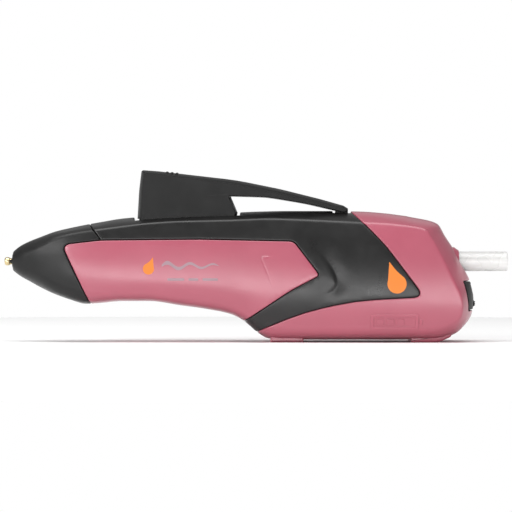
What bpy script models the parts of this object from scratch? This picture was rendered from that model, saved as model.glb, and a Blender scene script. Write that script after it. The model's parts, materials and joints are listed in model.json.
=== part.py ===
"""A cordless pen-shaped glue gun, as separate solids in one assembly.

Millimetres in the code, metres in the scene. +X runs to the tail, +Z up, and the nozzle points to -X.
The body's side surface is a height field over the side view (x, z). A crease line bounds it, and a
crowned band joins the crease to the centre line's silhouette.
"""

from math import cos, pi, radians, sin

import bmesh
import bpy
from mathutils import Matrix, Vector

MM = 0.001

# Driving dimensions, in millimetres
AXIS_Z = 28.9            # height of the glue stick's axis
STICK_R = 3.55
STICK_TAIL_X = 90.45
NOZZLE_TIP_X = -90.45
SKIN = 1.1               # thickness of the coloured panels
SEAT = 1.4               # depth of the recess under a panel
WALL = 2.8               # whole wall thickness of the body
GAP = 0.12               # half of the gap between neighbouring panels
HALF_GAP = 0.15          # each half shell's distance from the centre plane
LEVER_PIVOT = (30.8, 44.2)
LEVER_STROKE = radians(8.0)
LEVER_HALF_WIDTH = 6.3
CHEEK_INNER = 4.9        # inner half width between the lever's cheeks
FEED_PER_RADIAN = 40.0   # carriage travel per radian of lever stroke
CAM_PIN_X = -24.0
CAM_PIN_R = 1.1
BATTERY_R = 9.1
BATTERY_Z = 13.2
BATTERY_X = (12.0, 62.0)
SCREWS = ((-42.5, 19.6), (5.0, 14.0), (8.0, 39.5), (50.0, 38.5))

# One row for each station along the body: x, silhouette top, crease top, half width at the crease top,
# height of the widest line, widest half width, crease bottom, half width there, silhouette bottom,
# and how sharp the shoulder crease is (0.5 round, 1 sharp)
STATIONS = (
    (-87.5, 32.3, 29.3, 3.4, 28.9, 3.45, 28.5, 3.4, 25.6, 0.5),
    (-84.9, 34.4, 29.9, 5.4, 28.9, 5.45, 27.9, 5.4, 23.6, 0.5),
    (-81.3, 36.2, 30.9, 7.2, 28.8, 7.3, 26.9, 7.2, 21.6, 0.5),
    (-77.7, 37.6, 32.5, 8.6, 28.6, 8.9, 25.4, 8.8, 19.6, 0.52),
    (-72.3, 39.6, 36.1, 9.6, 28.0, 10.7, 22.8, 10.4, 17.1, 0.6),
    (-66.9, 40.9, 38.2, 10.1, 26.5, 12.1, 20.6, 11.6, 15.2, 0.75),
    (-61.0, 42.1, 39.4, 10.4, 25.0, 13.0, 19.2, 12.4, 13.6, 0.85),
    (-56.0, 43.0, 40.2, 10.5, 24.0, 13.4, 18.6, 12.8, 13.9, 0.92),
    (-48.0, 44.3, 41.3, 10.6, 23.0, 13.7, 18.4, 13.0, 14.6, 1.0),
    (-38.1, 45.1, 42.5, 10.7, 22.5, 13.9, 18.0, 13.1, 14.6, 1.0),
    (-27.3, 45.6, 43.2, 10.8, 22.0, 14.0, 16.8, 13.1, 13.1, 1.0),
    (-18.0, 46.0, 43.4, 10.9, 21.5, 14.2, 15.6, 13.1, 11.8, 1.0),
    (-8.6, 46.4, 43.6, 11.0, 20.5, 14.5, 13.6, 13.2, 9.8, 1.0),
    (-4.2, 46.6, 43.8, 11.1, 20.0, 14.8, 11.6, 13.3, 7.4, 1.0),
    (0.5, 46.8, 44.0, 11.2, 19.5, 15.2, 8.6, 13.5, 3.4, 1.0),
    (4.4, 46.9, 44.1, 11.4, 19.0, 15.6, 7.2, 13.9, 1.2, 1.0),
    (10.0, 47.0, 44.0, 11.6, 18.5, 16.1, 6.6, 14.4, 0.8, 1.0),
    (18.0, 47.0, 43.7, 11.9, 18.0, 16.7, 6.3, 15.0, 0.8, 1.0),
    (28.0, 47.0, 43.2, 12.3, 17.0, 17.2, 6.2, 15.5, 0.8, 1.0),
    (38.0, 46.8, 42.7, 12.7, 16.5, 17.6, 6.2, 15.9, 0.8, 1.0),
    (47.0, 46.1, 42.3, 13.0, 16.0, 17.8, 6.3, 16.1, 0.8, 1.0),
    (54.0, 45.2, 41.6, 13.2, 15.5, 17.7, 6.4, 16.1, 0.8, 1.0),
)
# The rear face's crease (x, z) and the silhouette's point (x, z) that it faces
REAR = (
    ((60.0, 40.4), (65.2, 42.4)),
    ((62.0, 37.4), (68.0, 38.0)),
    ((65.9, 30.5), (72.3, 31.4)),
    ((69.8, 22.6), (76.2, 23.8)),
    ((72.6, 16.4), (78.0, 18.0)),
    ((73.2, 13.0), (78.25, 14.8)),
    ((72.6, 9.2), (77.5, 10.0)),
    ((70.4, 7.4), (75.2, 6.4)),
    ((66.4, 6.8), (71.2, 2.8)),
    ((61.0, 6.5), (64.4, 0.9)),
)
REAR_WIDTHS = (74.0, 41.0, 13.2, 15.0, 16.6, 6.8, 15.6)  # x, crease top, half width, and so on as above

GRIP_PANEL = (  # corner x, z and corner radius
    (-69.3, 34.9, 2.4), (-55.4, 36.5, 40.0), (-20.0, 36.8, 90.0), (13.4, 36.1, 3.6), (22.6, 23.9, 1.3),
    (12.1, 18.4, 40.0), (2.9, 12.2, 60.0), (-6.5, 6.0, 0.0), (-10.0, -5.0, 0.0), (-50.4, -5.0, 0.0),
)
REAR_COVER = (
    (-9.0, -2.0, 0.0), (0.1, 3.8, 60.0), (17.0, 10.8, 80.0), (35.0, 14.9, 90.0), (59.6, 16.3, 2.3),
    (46.1, 34.5, 60.0), (38.2, 42.7, 40.0), (30.0, 50.8, 0.0), (95.0, 51.0, 0.0), (95.0, -8.0, 0.0),
    (-9.0, -8.0, 0.0),
)
NOSE = (
    (-63.3, 47.0, 0.0), (-55.3, 36.55, 0.4), (-69.3, 34.9, 2.4), (-50.4, -5.0, 0.0), (-95.0, -5.0, 0.0),
    (-95.0, 47.0, 0.0),
)
LEVER_OUTLINE = (
    (-42.75, 42.5, 0.0), (-42.1, 54.1, 30.0), (-41.2, 61.75, 1.0), (-35.0, 61.3, 20.0), (-7.1, 58.1, 90.0),
    (8.7, 54.9, 90.0), (23.1, 51.3, 90.0), (31.4, 48.95, 1.6), (33.3, 47.6, 1.2), (31.7, 46.35, 0.5),
    (17.9, 49.6, 90.0), (4.0, 51.9, 40.0), (-9.1, 52.3, 0.4), (-6.6, 46.4, 0.0), (-7.4, 42.5, 0.0),
)
CHEEK_OUTLINE = (
    (-42.6, 50.0, 0.0), (-42.6, 43.0, 0.5), (-37.6, 43.0, 1.0), (-34.6, 38.0, 1.0), (-26.6, 26.4, 2.0),
    (-21.4, 26.4, 2.0),
    (-20.4, 31.0, 3.0), (-8.2, 43.0, 1.0), (-8.2, 50.0, 0.0),
)

LEVER_HOLLOW = (
    (-44.0, 20.0), (-44.0, 44.6), (-40.9, 44.6), (-40.9, 54.0), (-39.6, 59.8), (-34.0, 59.4), (-20.0, 57.6),
    (-10.8, 56.2), (-10.6, 51.8), (-9.0, 46.4), (-9.0, 20.0),
)

PINK = (0.57, 0.15, 0.22)
BLACK = (0.03, 0.03, 0.032)
BRASS = (0.78, 0.57, 0.26)
ALUMINIUM = (0.75, 0.76, 0.78)
STEEL = (0.6, 0.61, 0.63)


def clear_scene():
    for item in list(bpy.data.objects):
        bpy.data.objects.remove(item, do_unlink=True)


def material(name, color, roughness, metallic=0.0):
    made = bpy.data.materials.new(name)
    made.use_nodes = True
    shader = made.node_tree.nodes["Principled BSDF"]
    shader.inputs["Base Color"].default_value = (*color, 1.0)
    shader.inputs["Roughness"].default_value = roughness
    shader.inputs["Metallic"].default_value = metallic
    made.diffuse_color = (*color, 1.0)
    return made


def add(name, mesh_builder, look=None):
    """A new object from a bmesh in millimetres."""
    mesh = bpy.data.meshes.new(name)
    bmesh.ops.recalc_face_normals(mesh_builder, faces=mesh_builder.faces)
    bmesh.ops.triangulate(mesh_builder, faces=mesh_builder.faces)
    mesh_builder.to_mesh(mesh)
    mesh_builder.free()
    item = bpy.data.objects.new(name, mesh)
    bpy.context.scene.collection.objects.link(item)
    if look:
        mesh.materials.append(look)
    return item


def combine(target, other, operation="DIFFERENCE"):
    """A Boolean applied at once, after which the other object is removed."""
    step = target.modifiers.new(operation, "BOOLEAN")
    step.operation = operation
    step.solver = "EXACT"
    step.object = other
    graph = bpy.context.evaluated_depsgraph_get()
    result = bpy.data.meshes.new_from_object(target.evaluated_get(graph))
    target.modifiers.remove(step)
    flat = bmesh.new()
    flat.from_mesh(result)
    bmesh.ops.triangulate(flat, faces=flat.faces)
    bmesh.ops.dissolve_degenerate(flat, edges=flat.edges, dist=1e-4)
    flat.to_mesh(result)
    flat.free()
    target.data = result
    bpy.data.objects.remove(other, do_unlink=True)
    return target


def block(name, low, high, look=None, bevel=0.0):
    shape = bmesh.new()
    bmesh.ops.create_cube(shape, size=1.0)
    size = Vector(high) - Vector(low)
    centre = (Vector(high) + Vector(low)) / 2
    bmesh.ops.scale(shape, vec=size, verts=shape.verts)
    bmesh.ops.translate(shape, vec=centre, verts=shape.verts)
    if bevel:
        bmesh.ops.bevel(shape, geom=shape.edges, offset=bevel, segments=1, affect="EDGES")
    return add(name, shape, look)


def turned(name, profile, look=None, sides=28, centre=(0.0, AXIS_Z)):
    """A closed profile of (x, radius) points turned about an axis along X through centre (y, z)."""
    shape = bmesh.new()
    points = [shape.verts.new((x, centre[0], centre[1] + r)) for x, r in profile]
    edges = [shape.edges.new((a, b)) for a, b in zip(points, points[1:])]
    if profile[0][1] > 0.0:
        edges.append(shape.edges.new((points[-1], points[0])))
    bmesh.ops.spin(
        shape, geom=points + edges, cent=(0.0, *centre), axis=(1.0, 0.0, 0.0), angle=2 * pi,
        steps=sides, use_merge=True,
    )
    bmesh.ops.remove_doubles(shape, verts=shape.verts, dist=1e-4)
    return add(name, shape, look)


def tube(name, x0, x1, inner, outer, look=None, sides=28):
    return turned(name, ((x0, inner), (x0, outer), (x1, outer), (x1, inner)), look, sides)


def pin(name, x, z, radius, y0, y1, look=None, sides=20):
    """A cylinder along Y."""
    shape = bmesh.new()
    ring = [shape.verts.new((x + radius * cos(2 * pi * k / sides), y0, z + radius * sin(2 * pi * k / sides)))
            for k in range(sides)]
    extrude_face(shape, ring, y1 - y0)
    return add(name, shape, look)


def extrude_face(shape, ring, depth):
    face = shape.faces.new(ring)
    moved = bmesh.ops.extrude_face_region(shape, geom=[face])["geom"]
    corners = [part for part in moved if isinstance(part, bmesh.types.BMVert)]
    bmesh.ops.translate(shape, vec=(0.0, depth, 0.0), verts=corners)


def rounded(corners, step=radians(18)):
    """A closed outline of (x, z) points from corners of (x, z, radius)."""
    outline = []
    for index, (x, z, radius) in enumerate(corners):
        before = Vector(corners[index - 1][:2])
        here = Vector((x, z))
        after = Vector(corners[(index + 1) % len(corners)][:2])
        back, ahead = (before - here), (after - here)
        room = 0.45 * min(back.length, ahead.length)
        back.normalize()
        ahead.normalize()
        angle = back.angle(ahead)
        turn = pi - angle
        if radius == 0.0 or turn < radians(0.5):
            outline.append(here)
            continue
        reach = min(radius * abs(1 / max(1e-6, abs(sin(angle / 2) / cos(angle / 2)))), room)
        start, end = here + back * reach, here + ahead * reach
        count = max(1, round(turn / step))
        for k in range(count + 1):
            t = k / count
            outline.append(start * (1 - t) ** 2 + here * 2 * t * (1 - t) + end * t ** 2)
    return outline


def grown(outline, distance):
    """The outline moved outwards by a distance, or inwards if it is negative."""
    area = sum(a.x * b.y - b.x * a.y for a, b in zip(outline, outline[1:] + outline[:1]))
    side = -1.0 if area > 0 else 1.0
    moved = []
    for index, here in enumerate(outline):
        before = (here - outline[index - 1]).normalized()
        after = (outline[(index + 1) % len(outline)] - here).normalized()
        normal = Vector((-(before.y + after.y), before.x + after.x)).normalized() * side
        scale = 1.0 / max(0.4, normal.dot(Vector((-before.y, before.x)) * side))
        moved.append(here + normal * distance * scale)
    return moved


def prism(name, outline, y0, y1, look=None):
    shape = bmesh.new()
    extrude_face(shape, [shape.verts.new((p.x, y0, p.y)) for p in outline], y1 - y0)
    return add(name, shape, look)


# ---- the body's surface ----

def station(x):
    """The station values at x, straight between rows, and the rear widths beyond the last row."""
    rear = (REAR_WIDTHS[0], 0.0, *REAR_WIDTHS[1:], 0.0, 1.0)
    rows = (*STATIONS, rear)
    if x <= rows[0][0]:
        return rows[0]
    for low, high in zip(rows, rows[1:]):
        if x <= high[0]:
            t = (x - low[0]) / (high[0] - low[0])
            return tuple(a + (b - a) * t for a, b in zip(low, high))
    return rear


def half_width(x, z):
    _, _, top, top_width, widest_z, widest, bottom, bottom_width, _, _ = station(x)
    if z >= widest_z:
        part = min(1.15, (z - widest_z) / (top - widest_z))
        return widest - (widest - top_width) * part ** 2
    part = min(1.3, (widest_z - z) / (widest_z - bottom))
    return widest - (widest - bottom_width) * part ** 2.2


def ribs(rows):
    """Around the body: crease point, silhouette point, crown power and crease sharpness of each rib."""
    front = rows[0][0]
    found = [((front, AXIS_Z), (front - 0.4, AXIS_Z), 2.0, 1.0)]
    found += [((s[0], s[2]), (s[0], s[1]), 2.0, s[9]) for s in rows]
    found += [(crease, edge, 2.0, 1.0) for crease, edge in REAR[:7]]
    found += [(crease, edge, 2.6, 0.7) for crease, edge in REAR[7:]]
    found += [((s[0], s[6]), (s[0], s[8]), 2.0 if s[0] < -75 else 3.2, 0.5) for s in reversed(rows)]
    return found


def body_solid(name, inset=0.0, band_steps=3, side_steps=3):
    """The body's outer shape, or what is left of it inside an inset, which starts behind the tip."""
    shape = bmesh.new()
    rows = STATIONS[2:] if inset else STATIONS
    first, last = rows[0][0] + 1.5, rows[-1][0]
    columns = {-1: [], 1: []}
    for (crease_x, crease_z), (edge_x, edge_z), power, sharp in ribs(rows):
        spine_x = min(max(crease_x, first), last)
        row = station(spine_x)
        spine_z = (row[2] + row[6]) / 2
        for side in (-1, 1):
            width = half_width(crease_x, crease_z)
            column = []
            for k in range(band_steps + 1):
                t = 1 - (1 - k / band_steps) ** 1.5
                rise = (1 - t ** power) ** sharp
                column.append((crease_x + (edge_x - crease_x) * rise, side * width * t,
                               crease_z + (edge_z - crease_z) * rise))
            for k in range(1, side_steps + 1):
                t = k / side_steps
                x = crease_x + (spine_x - crease_x) * t
                z = crease_z + (spine_z - crease_z) * t
                column.append((x, side * half_width(x, z), z))
            columns[side].append([shape.verts.new(point) for point in column])
    for side in (-1, 1):
        rows = columns[side]
        for here, after in zip(rows, rows[1:] + rows[:1]):
            for k in range(len(here) - 1):
                shape.faces.new((here[k], here[k + 1], after[k + 1], after[k]))
    bmesh.ops.remove_doubles(shape, verts=shape.verts, dist=1e-3)
    bmesh.ops.dissolve_degenerate(shape, edges=shape.edges, dist=1e-3)
    bmesh.ops.recalc_face_normals(shape, faces=shape.faces)
    shape.normal_update()
    moved = [(vert, vert.co - vert.normal * inset) for vert in shape.verts]
    for vert, place in moved:
        vert.co = place
    return add(name, shape)


def half_space(side):
    """A block that covers one side of the centre plane, which it keeps clear of."""
    near, far = HALF_GAP * side, 40.0 * side
    return block("half", (-120, min(near, far), -20), (120, max(near, far), 80))


def ring_cutter(outline, inset):
    """What lies over a region of the side view and outside the body inset by a depth."""
    cutter = prism("region", outline, -40.0, 40.0)
    return combine(cutter, body_solid("seat", inset))


def screw_cuts(item, side):
    """Screw holes: a pilot on the left, and a recessed through hole on the right."""
    for x, z in SCREWS:
        if side < 0:
            combine(item, pin("pilot", x, z, 1.25, -9.0, 1.0))
        else:
            combine(item, pin("through", x, z, 1.45, -1.0, 30.0))
            combine(item, pin("recess", x, z, 2.9, 6.0, 30.0))


# ---- casing ----

def make_housing(side, name, look):
    item = combine(body_solid(name), body_solid("inner", WALL))
    for x, z in SCREWS:
        reach = sorted((side * HALF_GAP * 0.5, side * (half_width(x, z) - 2.0)))
        combine(item, pin("boss", x, z, 2.6 if side < 0 else 3.7, *reach), "UNION")
    for x in (10.0, 45.0):
        combine(item, guide_rib(x, side), "UNION")
    for outline in (GRIP_PANEL, REAR_COVER, NOSE):
        combine(item, ring_cutter(grown(rounded(outline), GAP), SEAT))
    combine(item, block("front", (-100, -30, 0), (-62.0, 30, 60)))
    combine(item, block("hinge", (27.2, min(3.7 * side, 9.5 * side), 41.2),
                        (34.4, max(3.7 * side, 9.5 * side), 45.4)), "UNION")
    combine(item, block("slot", (-44.6, -6.8, 38.0), (-5.7, 6.8, 60.0)))
    combine(item, block("land", (26.4, -6.8, 45.6), (34.2, 6.8, 60.0)))
    combine(item, block("pocket", (27.2, -3.6, 38.0), (34.0, 3.6, 60.0)))
    combine(item, pin("hinge_hole", *LEVER_PIVOT, 1.1, -6.0, 6.0))
    combine(item, turned("stick_hole", ((50.0, 0), (50.0, 5.5), (90.0, 5.5), (90.0, 0))))
    combine(item, turned("cell_room", ((8.0, 0), (8.0, 9.5), (64.0, 9.5), (64.0, 0)), None, 28,
                         (0.0, BATTERY_Z)))
    combine(item, block("panel_window", (70.0, -9.5, 12.2), (90.0, 9.5, 20.9)))
    screw_cuts(item, side)
    combine(item, half_space(side), "INTERSECT")
    return finished(item, name, look)


def guide_rib(x, side):
    """A rib that reaches from the wall to the stick's guide tube."""
    wall = half_width(x, AXIS_Z) - 2.0
    low, high = sorted((side * HALF_GAP * 0.5, side * wall))
    rib = block("rib", (x - 0.8, low, 23.6), (x + 0.8, high, 36.0))
    return combine(rib, turned("tube_room", ((x - 2, 0), (x - 2, 5.15), (x + 2, 5.15), (x + 2, 0))))


def finished(item, name, look):
    item.name = name
    item.data.name = name
    item.data.materials.clear()
    item.data.materials.append(look)
    for polygon in item.data.polygons:
        polygon.material_index = 0
    return item


def skin(name, outline, side, look, extras=()):
    """A coloured panel over one half of the housing."""
    item = combine(body_solid(name), body_solid("under", SKIN))
    for extra in extras:
        combine(item, extra, "UNION")
    combine(item, prism("region", grown(rounded(outline), -GAP), -40.0, 40.0), "INTERSECT")
    combine(item, half_space(side), "INTERSECT")
    if side > 0:
        for x, z in SCREWS:
            combine(item, pin("screw_opening", x, z, 2.9, 0.0, 30.0))
    return finished(item, name, look)


def make_grip_panel(side, name, look):
    return skin(name, GRIP_PANEL, side, look)


def make_rear_cover(side, name, look):
    feet = [block("foot", (low, -9.0, 0.0), (high, 9.0, 1.5)) for low, high in ((5.1, 17.0), (55.6, 65.0))]
    item = skin(name, REAR_COVER, side, look, feet)
    combine(item, block("panel_opening", (70.0, -11.4, 11.3), (90.0, 11.4, 21.9)))
    combine(item, turned("stick_opening", ((50.0, 0), (50.0, 5.45), (90.0, 5.45), (90.0, 0))))
    return finished(item, name, look)


def make_nose_cone(look):
    item = body_solid("nose_cone")
    inner = body_solid("inner", WALL)
    combine(item, inner)
    lip = combine(body_solid("lip", SKIN), block("lip_end", (-62.3, -30, 0), (80, 30, 60)), "INTERSECT")
    combine(item, lip)
    combine(item, prism("region", grown(rounded(NOSE), -GAP), -40.0, 40.0), "INTERSECT")
    combine(item, turned("bore", ((-95.0, 0), (-95.0, 2.0), (-83.2, 2.0), (-79.3, 3.7), (-76.0, 4.4),
                                  (-76.0, 0))))
    return finished(item, "nose_cone", look)


def make_switch_panel(look):
    item = combine(body_solid("switch_panel"), body_solid("under", SKIN))
    combine(item, block("region", (70.0, -11.15, 11.55), (90.0, 11.15, 21.65)), "INTERSECT")
    combine(item, block("switch_slot", (70.0, -2.5, 12.4), (90.0, 2.5, 17.2)))
    combine(item, block("socket_slot", (70.0, -4.2, 17.7), (90.0, 4.2, 20.6)))
    combine(item, turned("lens_hole", ((70.0, 0), (70.0, 1.45), (90.0, 1.45), (90.0, 0)), None, 16,
                         (7.5, 15.5)))
    return finished(item, "switch_panel", look)


def make_stick_collar(look):
    return tube("stick_collar", 70.2, 72.9, 3.95, 5.15, look)


# ---- lever and feed ----

def cam_path():
    """The cam pin's place in the lever's own frame through the stroke."""
    path = []
    for k in range(8):
        turn = LEVER_STROKE * (1.36 * k / 7 - 0.18)
        dx = CAM_PIN_X - FEED_PER_RADIAN * turn - LEVER_PIVOT[0]
        dz = AXIS_Z - LEVER_PIVOT[1]
        path.append(Vector((LEVER_PIVOT[0] + dx * cos(turn) + dz * sin(turn),
                            LEVER_PIVOT[1] - dx * sin(turn) + dz * cos(turn))))
    return path


def band_outline(path, half):
    """A slot of constant width along a path, with square ends."""
    left, right = [], []
    for index, here in enumerate(path):
        ahead = (path[min(index + 1, len(path) - 1)] - path[max(index - 1, 0)]).normalized()
        normal = Vector((-ahead.y, ahead.x)) * half
        left.append(here + normal)
        right.append(here - normal)
    return left + right[::-1]


def make_feed_lever(look):
    w = LEVER_HALF_WIDTH
    item = prism("feed_lever", rounded(LEVER_OUTLINE), -w, w)
    combine(item, prism("cheeks", rounded(CHEEK_OUTLINE), -w + 0.05, w - 0.05), "UNION")
    combine(item, prism("hollow", [Vector(corner) for corner in LEVER_HOLLOW], -CHEEK_INNER, CHEEK_INNER))
    combine(item, prism("cam_slot", band_outline(cam_path(), CAM_PIN_R + 0.25), -9.0, 9.0))
    combine(item, block("tongue", (28.5, -3.25, 42.4), (33.0, 3.25, 48.0)), "UNION")
    combine(item, pin("pivot_hole", *LEVER_PIVOT, 1.08, -9.0, 9.0, None, 24))
    for k in range(3):
        x = -32.3 + 1.7 * k
        combine(item, block("grip_rib", (x, -4.6, 60.0), (x + 0.9, 4.6, 61.55 - 0.15 * k)), "UNION")
    return finished(item, "feed_lever", look)


def make_carriage(look):
    x0, x1 = -28.5, -18.6
    item = block("feed_carriage", (x0, -4.5, AXIS_Z - 4.9), (x1, 4.5, AXIS_Z + 4.9), None, 0.5)
    for side in (-1, 1):
        ear = block("ear", (-22.6, min(2.3 * side, 4.4 * side), AXIS_Z + 4.0),
                    (-18.8, max(2.3 * side, 4.4 * side), AXIS_Z + 8.6))
        combine(item, ear, "UNION")
    combine(item, pin("cam_pins", CAM_PIN_X, AXIS_Z, CAM_PIN_R, -6.2, 6.2), "UNION")
    combine(item, turned("stick_bore", ((-40.0, 0), (-40.0, 3.9), (0.0, 3.9), (0.0, 0))))
    combine(item, block("jaw_room", (-28.0, -2.2, AXIS_Z + 1.0), (-18.0, 2.2, AXIS_Z + 12.0)))
    combine(item, pin("jaw_hole", -20.7, AXIS_Z + 6.9, 0.87, -6.0, 6.0, None, 20))
    return finished(item, "feed_carriage", look)


def make_gripper(look):
    x, z = -20.7, AXIS_Z + 6.9
    item = pin("gripper_jaw", x, z, 1.6, -1.9, 1.9)
    arm = [Vector(p) for p in ((x, z + 1.5), (-24.6, z - 0.2), (-26.3, z - 2.2), (-25.4, AXIS_Z + 4.5),
                               (-24.6, AXIS_Z + 5.1), (-23.9, AXIS_Z + 4.6), (-23.2, AXIS_Z + 5.2), (x, z - 1.5))]
    combine(item, prism("arm", arm, -1.9, 1.9), "UNION")
    combine(item, pin("jaw_bore", x, z, 0.87, -3.0, 3.0, None, 20))
    return finished(item, "gripper_jaw", look)


def coil(name, x0, x1, radius, wire, turns, look):
    curve = bpy.data.curves.new(name, "CURVE")
    curve.dimensions = "3D"
    curve.bevel_depth = wire * MM
    curve.bevel_resolution = 1
    curve.use_fill_caps = True
    count = int(turns * 16)
    spline = curve.splines.new("POLY")
    spline.points.add(count)
    for k, point in enumerate(spline.points):
        angle = 2 * pi * turns * k / count
        x = x0 + (x1 - x0) * k / count
        point.co = (x * MM, radius * sin(angle) * MM, (AXIS_Z + radius * cos(angle)) * MM, 1.0)
    item = bpy.data.objects.new(name, curve)
    bpy.context.scene.collection.objects.link(item)
    curve.materials.append(look)
    return item


def wire(name, points, look):
    curve = bpy.data.curves.new(name, "CURVE")
    curve.dimensions = "3D"
    curve.bevel_depth = 0.75 * MM
    curve.bevel_resolution = 1
    curve.resolution_u = 5
    curve.use_fill_caps = True
    spline = curve.splines.new("BEZIER")
    spline.bezier_points.add(len(points) - 1)
    for point, place in zip(spline.bezier_points, points):
        point.co = Vector(place) * MM
        point.handle_left_type = "AUTO"
        point.handle_right_type = "AUTO"
    item = bpy.data.objects.new(name, curve)
    bpy.context.scene.collection.objects.link(item)
    curve.materials.append(look)
    return item


# ---- heating ----

def make_nozzle(look):
    return turned("nozzle", (
        (NOZZLE_TIP_X, 0.45), (NOZZLE_TIP_X, 0.95), (-90.0, 1.35), (-89.4, 1.5), (-88.7, 1.3), (-88.2, 1.15),
        (-87.2, 1.2), (-86.4, 1.6), (-82.5, 1.7), (-79.0, 3.3), (-75.5, 3.9), (-75.5, 5.0), (-72.6, 5.0),
        (-72.6, 1.8), (-84.0, 0.8), (-86.5, 0.45)), look, 24)


def make_chamber(look):
    item = turned("melting_chamber", ((-72.2, 2.2), (-72.2, 5.6), (-70.4, 6.2), (-50.6, 6.2), (-50.6, 4.0),
                                      (-66.0, 3.9)))
    pad = block("pad", (-68.0, -4.0, AXIS_Z - 7.6), (-54.0, 4.0, AXIS_Z - 4.6))
    combine(item, pad, "UNION")
    return finished(item, "melting_chamber", look)


def make_heater_clamp(look):
    z = AXIS_Z
    item = block("heater_clamp", (-60.6, -7.1, z - 10.9), (-55.2, 7.1, z - 1.0))
    combine(item, block("clamp_room", (-66.0, -6.6, z - 10.35), (-50.0, 6.6, z + 4.0)))
    return finished(item, "heater_clamp", look)


# ---- electrics ----

def make_slider(look):
    item = block("switch_slider", (73.0, -1.1, 12.9), (78.0, 1.1, 14.7))
    combine(item, block("nub", (76.8, -2.2, 12.7), (78.75, 2.2, 14.9), None, 0.3), "UNION")
    return finished(item, "switch_slider", look)


def make_socket(look):
    item = block("charging_socket", (69.9, -3.9, 18.0), (76.7, 3.9, 20.3))
    combine(item, block("mouth", (71.5, -3.5, 18.35), (80.0, 3.5, 19.95)))
    return finished(item, "charging_socket", look)


def make_screw(index, x, z, look):
    name = f"shell_screw_{index}"
    item = pin(name, x, z, 1.05, -8.0, 4.8, None, 12)
    combine(item, pin("head", x, z, 2.2, 4.4 + 1.75, 7.9, None, 16), "UNION")
    combine(item, pin("neck", x, z, 1.05, 4.0, 6.6, None, 12), "UNION")
    combine(item, block("drive_a", (x - 1.2, 7.2, z - 0.25), (x + 1.2, 9.0, z + 0.25)))
    combine(item, block("drive_b", (x - 0.25, 7.2, z - 1.2), (x + 0.25, 9.0, z + 1.2)))
    return finished(item, name, look)


def main():
    clear_scene()
    pink = material("panel_pink", PINK, 0.34, 0.35)
    black = material("housing_black", BLACK, 0.5)
    lever_black = material("lever_black", BLACK, 0.45)
    nose_black = material("nose_black", BLACK, 0.42)
    brass = material("brass", BRASS, 0.3, 1.0)
    aluminium = material("aluminium", ALUMINIUM, 0.4, 1.0)
    steel = material("steel", STEEL, 0.35, 1.0)
    glue = material("glue", (0.86, 0.86, 0.84), 0.35)
    silicone = material("silicone", (0.75, 0.2, 0.12), 0.6)
    board = material("board_green", (0.03, 0.2, 0.07), 0.5)
    cell = material("cell_sleeve", (0.08, 0.25, 0.5), 0.4)
    ceramic = material("heater_white", (0.85, 0.84, 0.8), 0.6)
    inner_plastic = material("inner_plastic", (0.2, 0.2, 0.21), 0.6)
    lens = material("lens", (0.8, 0.9, 0.8), 0.15)
    red = material("wire_red", (0.6, 0.03, 0.03), 0.5)
    dark = material("wire_black", (0.02, 0.02, 0.02), 0.5)

    for side, word in ((-1, "left"), (1, "right")):
        make_housing(side, f"housing_{word}", black)
        make_grip_panel(side, f"grip_panel_{word}", pink)
        make_rear_cover(side, f"rear_cover_{word}", pink)
    make_nose_cone(nose_black)
    make_switch_panel(black)
    make_stick_collar(pink)

    make_feed_lever(lever_black)
    pin("lever_pin", *LEVER_PIVOT, 1.0, -5.8, 5.8, steel, 24)
    make_carriage(inner_plastic)
    make_gripper(steel)
    pin("gripper_pin", -20.7, AXIS_Z + 6.9, 0.8, -4.3, 4.3, steel, 16)
    coil("return_spring", -37.4, -29.3, 4.35, 0.3, 4.5, steel)
    turned("glue_stick", ((-65.0, 0), (-65.0, STICK_R), (STICK_TAIL_X, STICK_R), (STICK_TAIL_X, 0)), glue, 32)
    tube("stick_guide", -10.0, 69.6, 3.95, 4.85, inner_plastic)

    make_nozzle(brass)
    make_chamber(aluminium)
    block("heater_plate", (-67.0, -3.6, AXIS_Z - 9.9), (-55.0, 3.6, AXIS_Z - 7.9), ceramic)
    make_heater_clamp(steel)
    pin("temperature_sensor", -60.0, AXIS_Z + 7.7, 1.2, -3.0, 3.0, ceramic, 14)
    turned("chamber_holder", ((-50.3, 4.1), (-50.3, 8.3), (-47.0, 8.3), (-47.0, 4.1)), ceramic)
    turned("inlet_sleeve", ((-46.6, 3.8), (-46.6, 6.4), (-45.0, 6.4), (-44.6, 4.65), (-38.0, 4.65), (-38.0, 3.8)),
           silicone)

    turned("battery_cell", ((BATTERY_X[0], 0), (BATTERY_X[0], 8.7), (BATTERY_X[0] + 0.5, BATTERY_R),
                            (BATTERY_X[1] - 0.5, BATTERY_R), (BATTERY_X[1], 8.7), (BATTERY_X[1], 0)), cell, 32,
           (0.0, BATTERY_Z))
    block("battery_tab_front", (11.2, -4, 9), (11.7, 4, 17), steel)
    block("battery_tab_rear", (62.3, -4, 9), (62.8, 4, 17), steel)
    block("circuit_board", (68.2, -9, 7.5), (69.6, 9, 23.2), board)
    block("slide_switch", (69.9, -4, 11.6), (72.6, 4, 16.4), steel)
    make_slider(lever_black)
    make_socket(steel)
    turned("status_lens", ((70.2, 0), (70.2, 1.2), (76.4, 1.2), (76.4, 0)), lens, 14, (7.5, 15.5))
    for word, side, look in (("red", -1, red), ("black", 1, dark)):
        wire(f"heater_wire_{word}", ((66.6, 5.0 * side, 21.6), (60.0, 8.4 * side, 21.0), (30.0, 8.8 * side, 20.4),
                                     (0.0, 8.8 * side, 21.0), (-25.0, 8.4 * side, 24.0),
                                     (-40.0, 9.0 * side, 29.0), (-49.0, 9.4 * side, 30.0),
                                     (-60.0, 8.6 * side, 29.0)), look)
    for index, (x, z) in enumerate(SCREWS, 1):
        make_screw(index, x, z, steel)
    for item in bpy.data.objects:
        if item.type == "MESH":
            item.data.transform(Matrix.Scale(MM, 4))


main()
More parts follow.
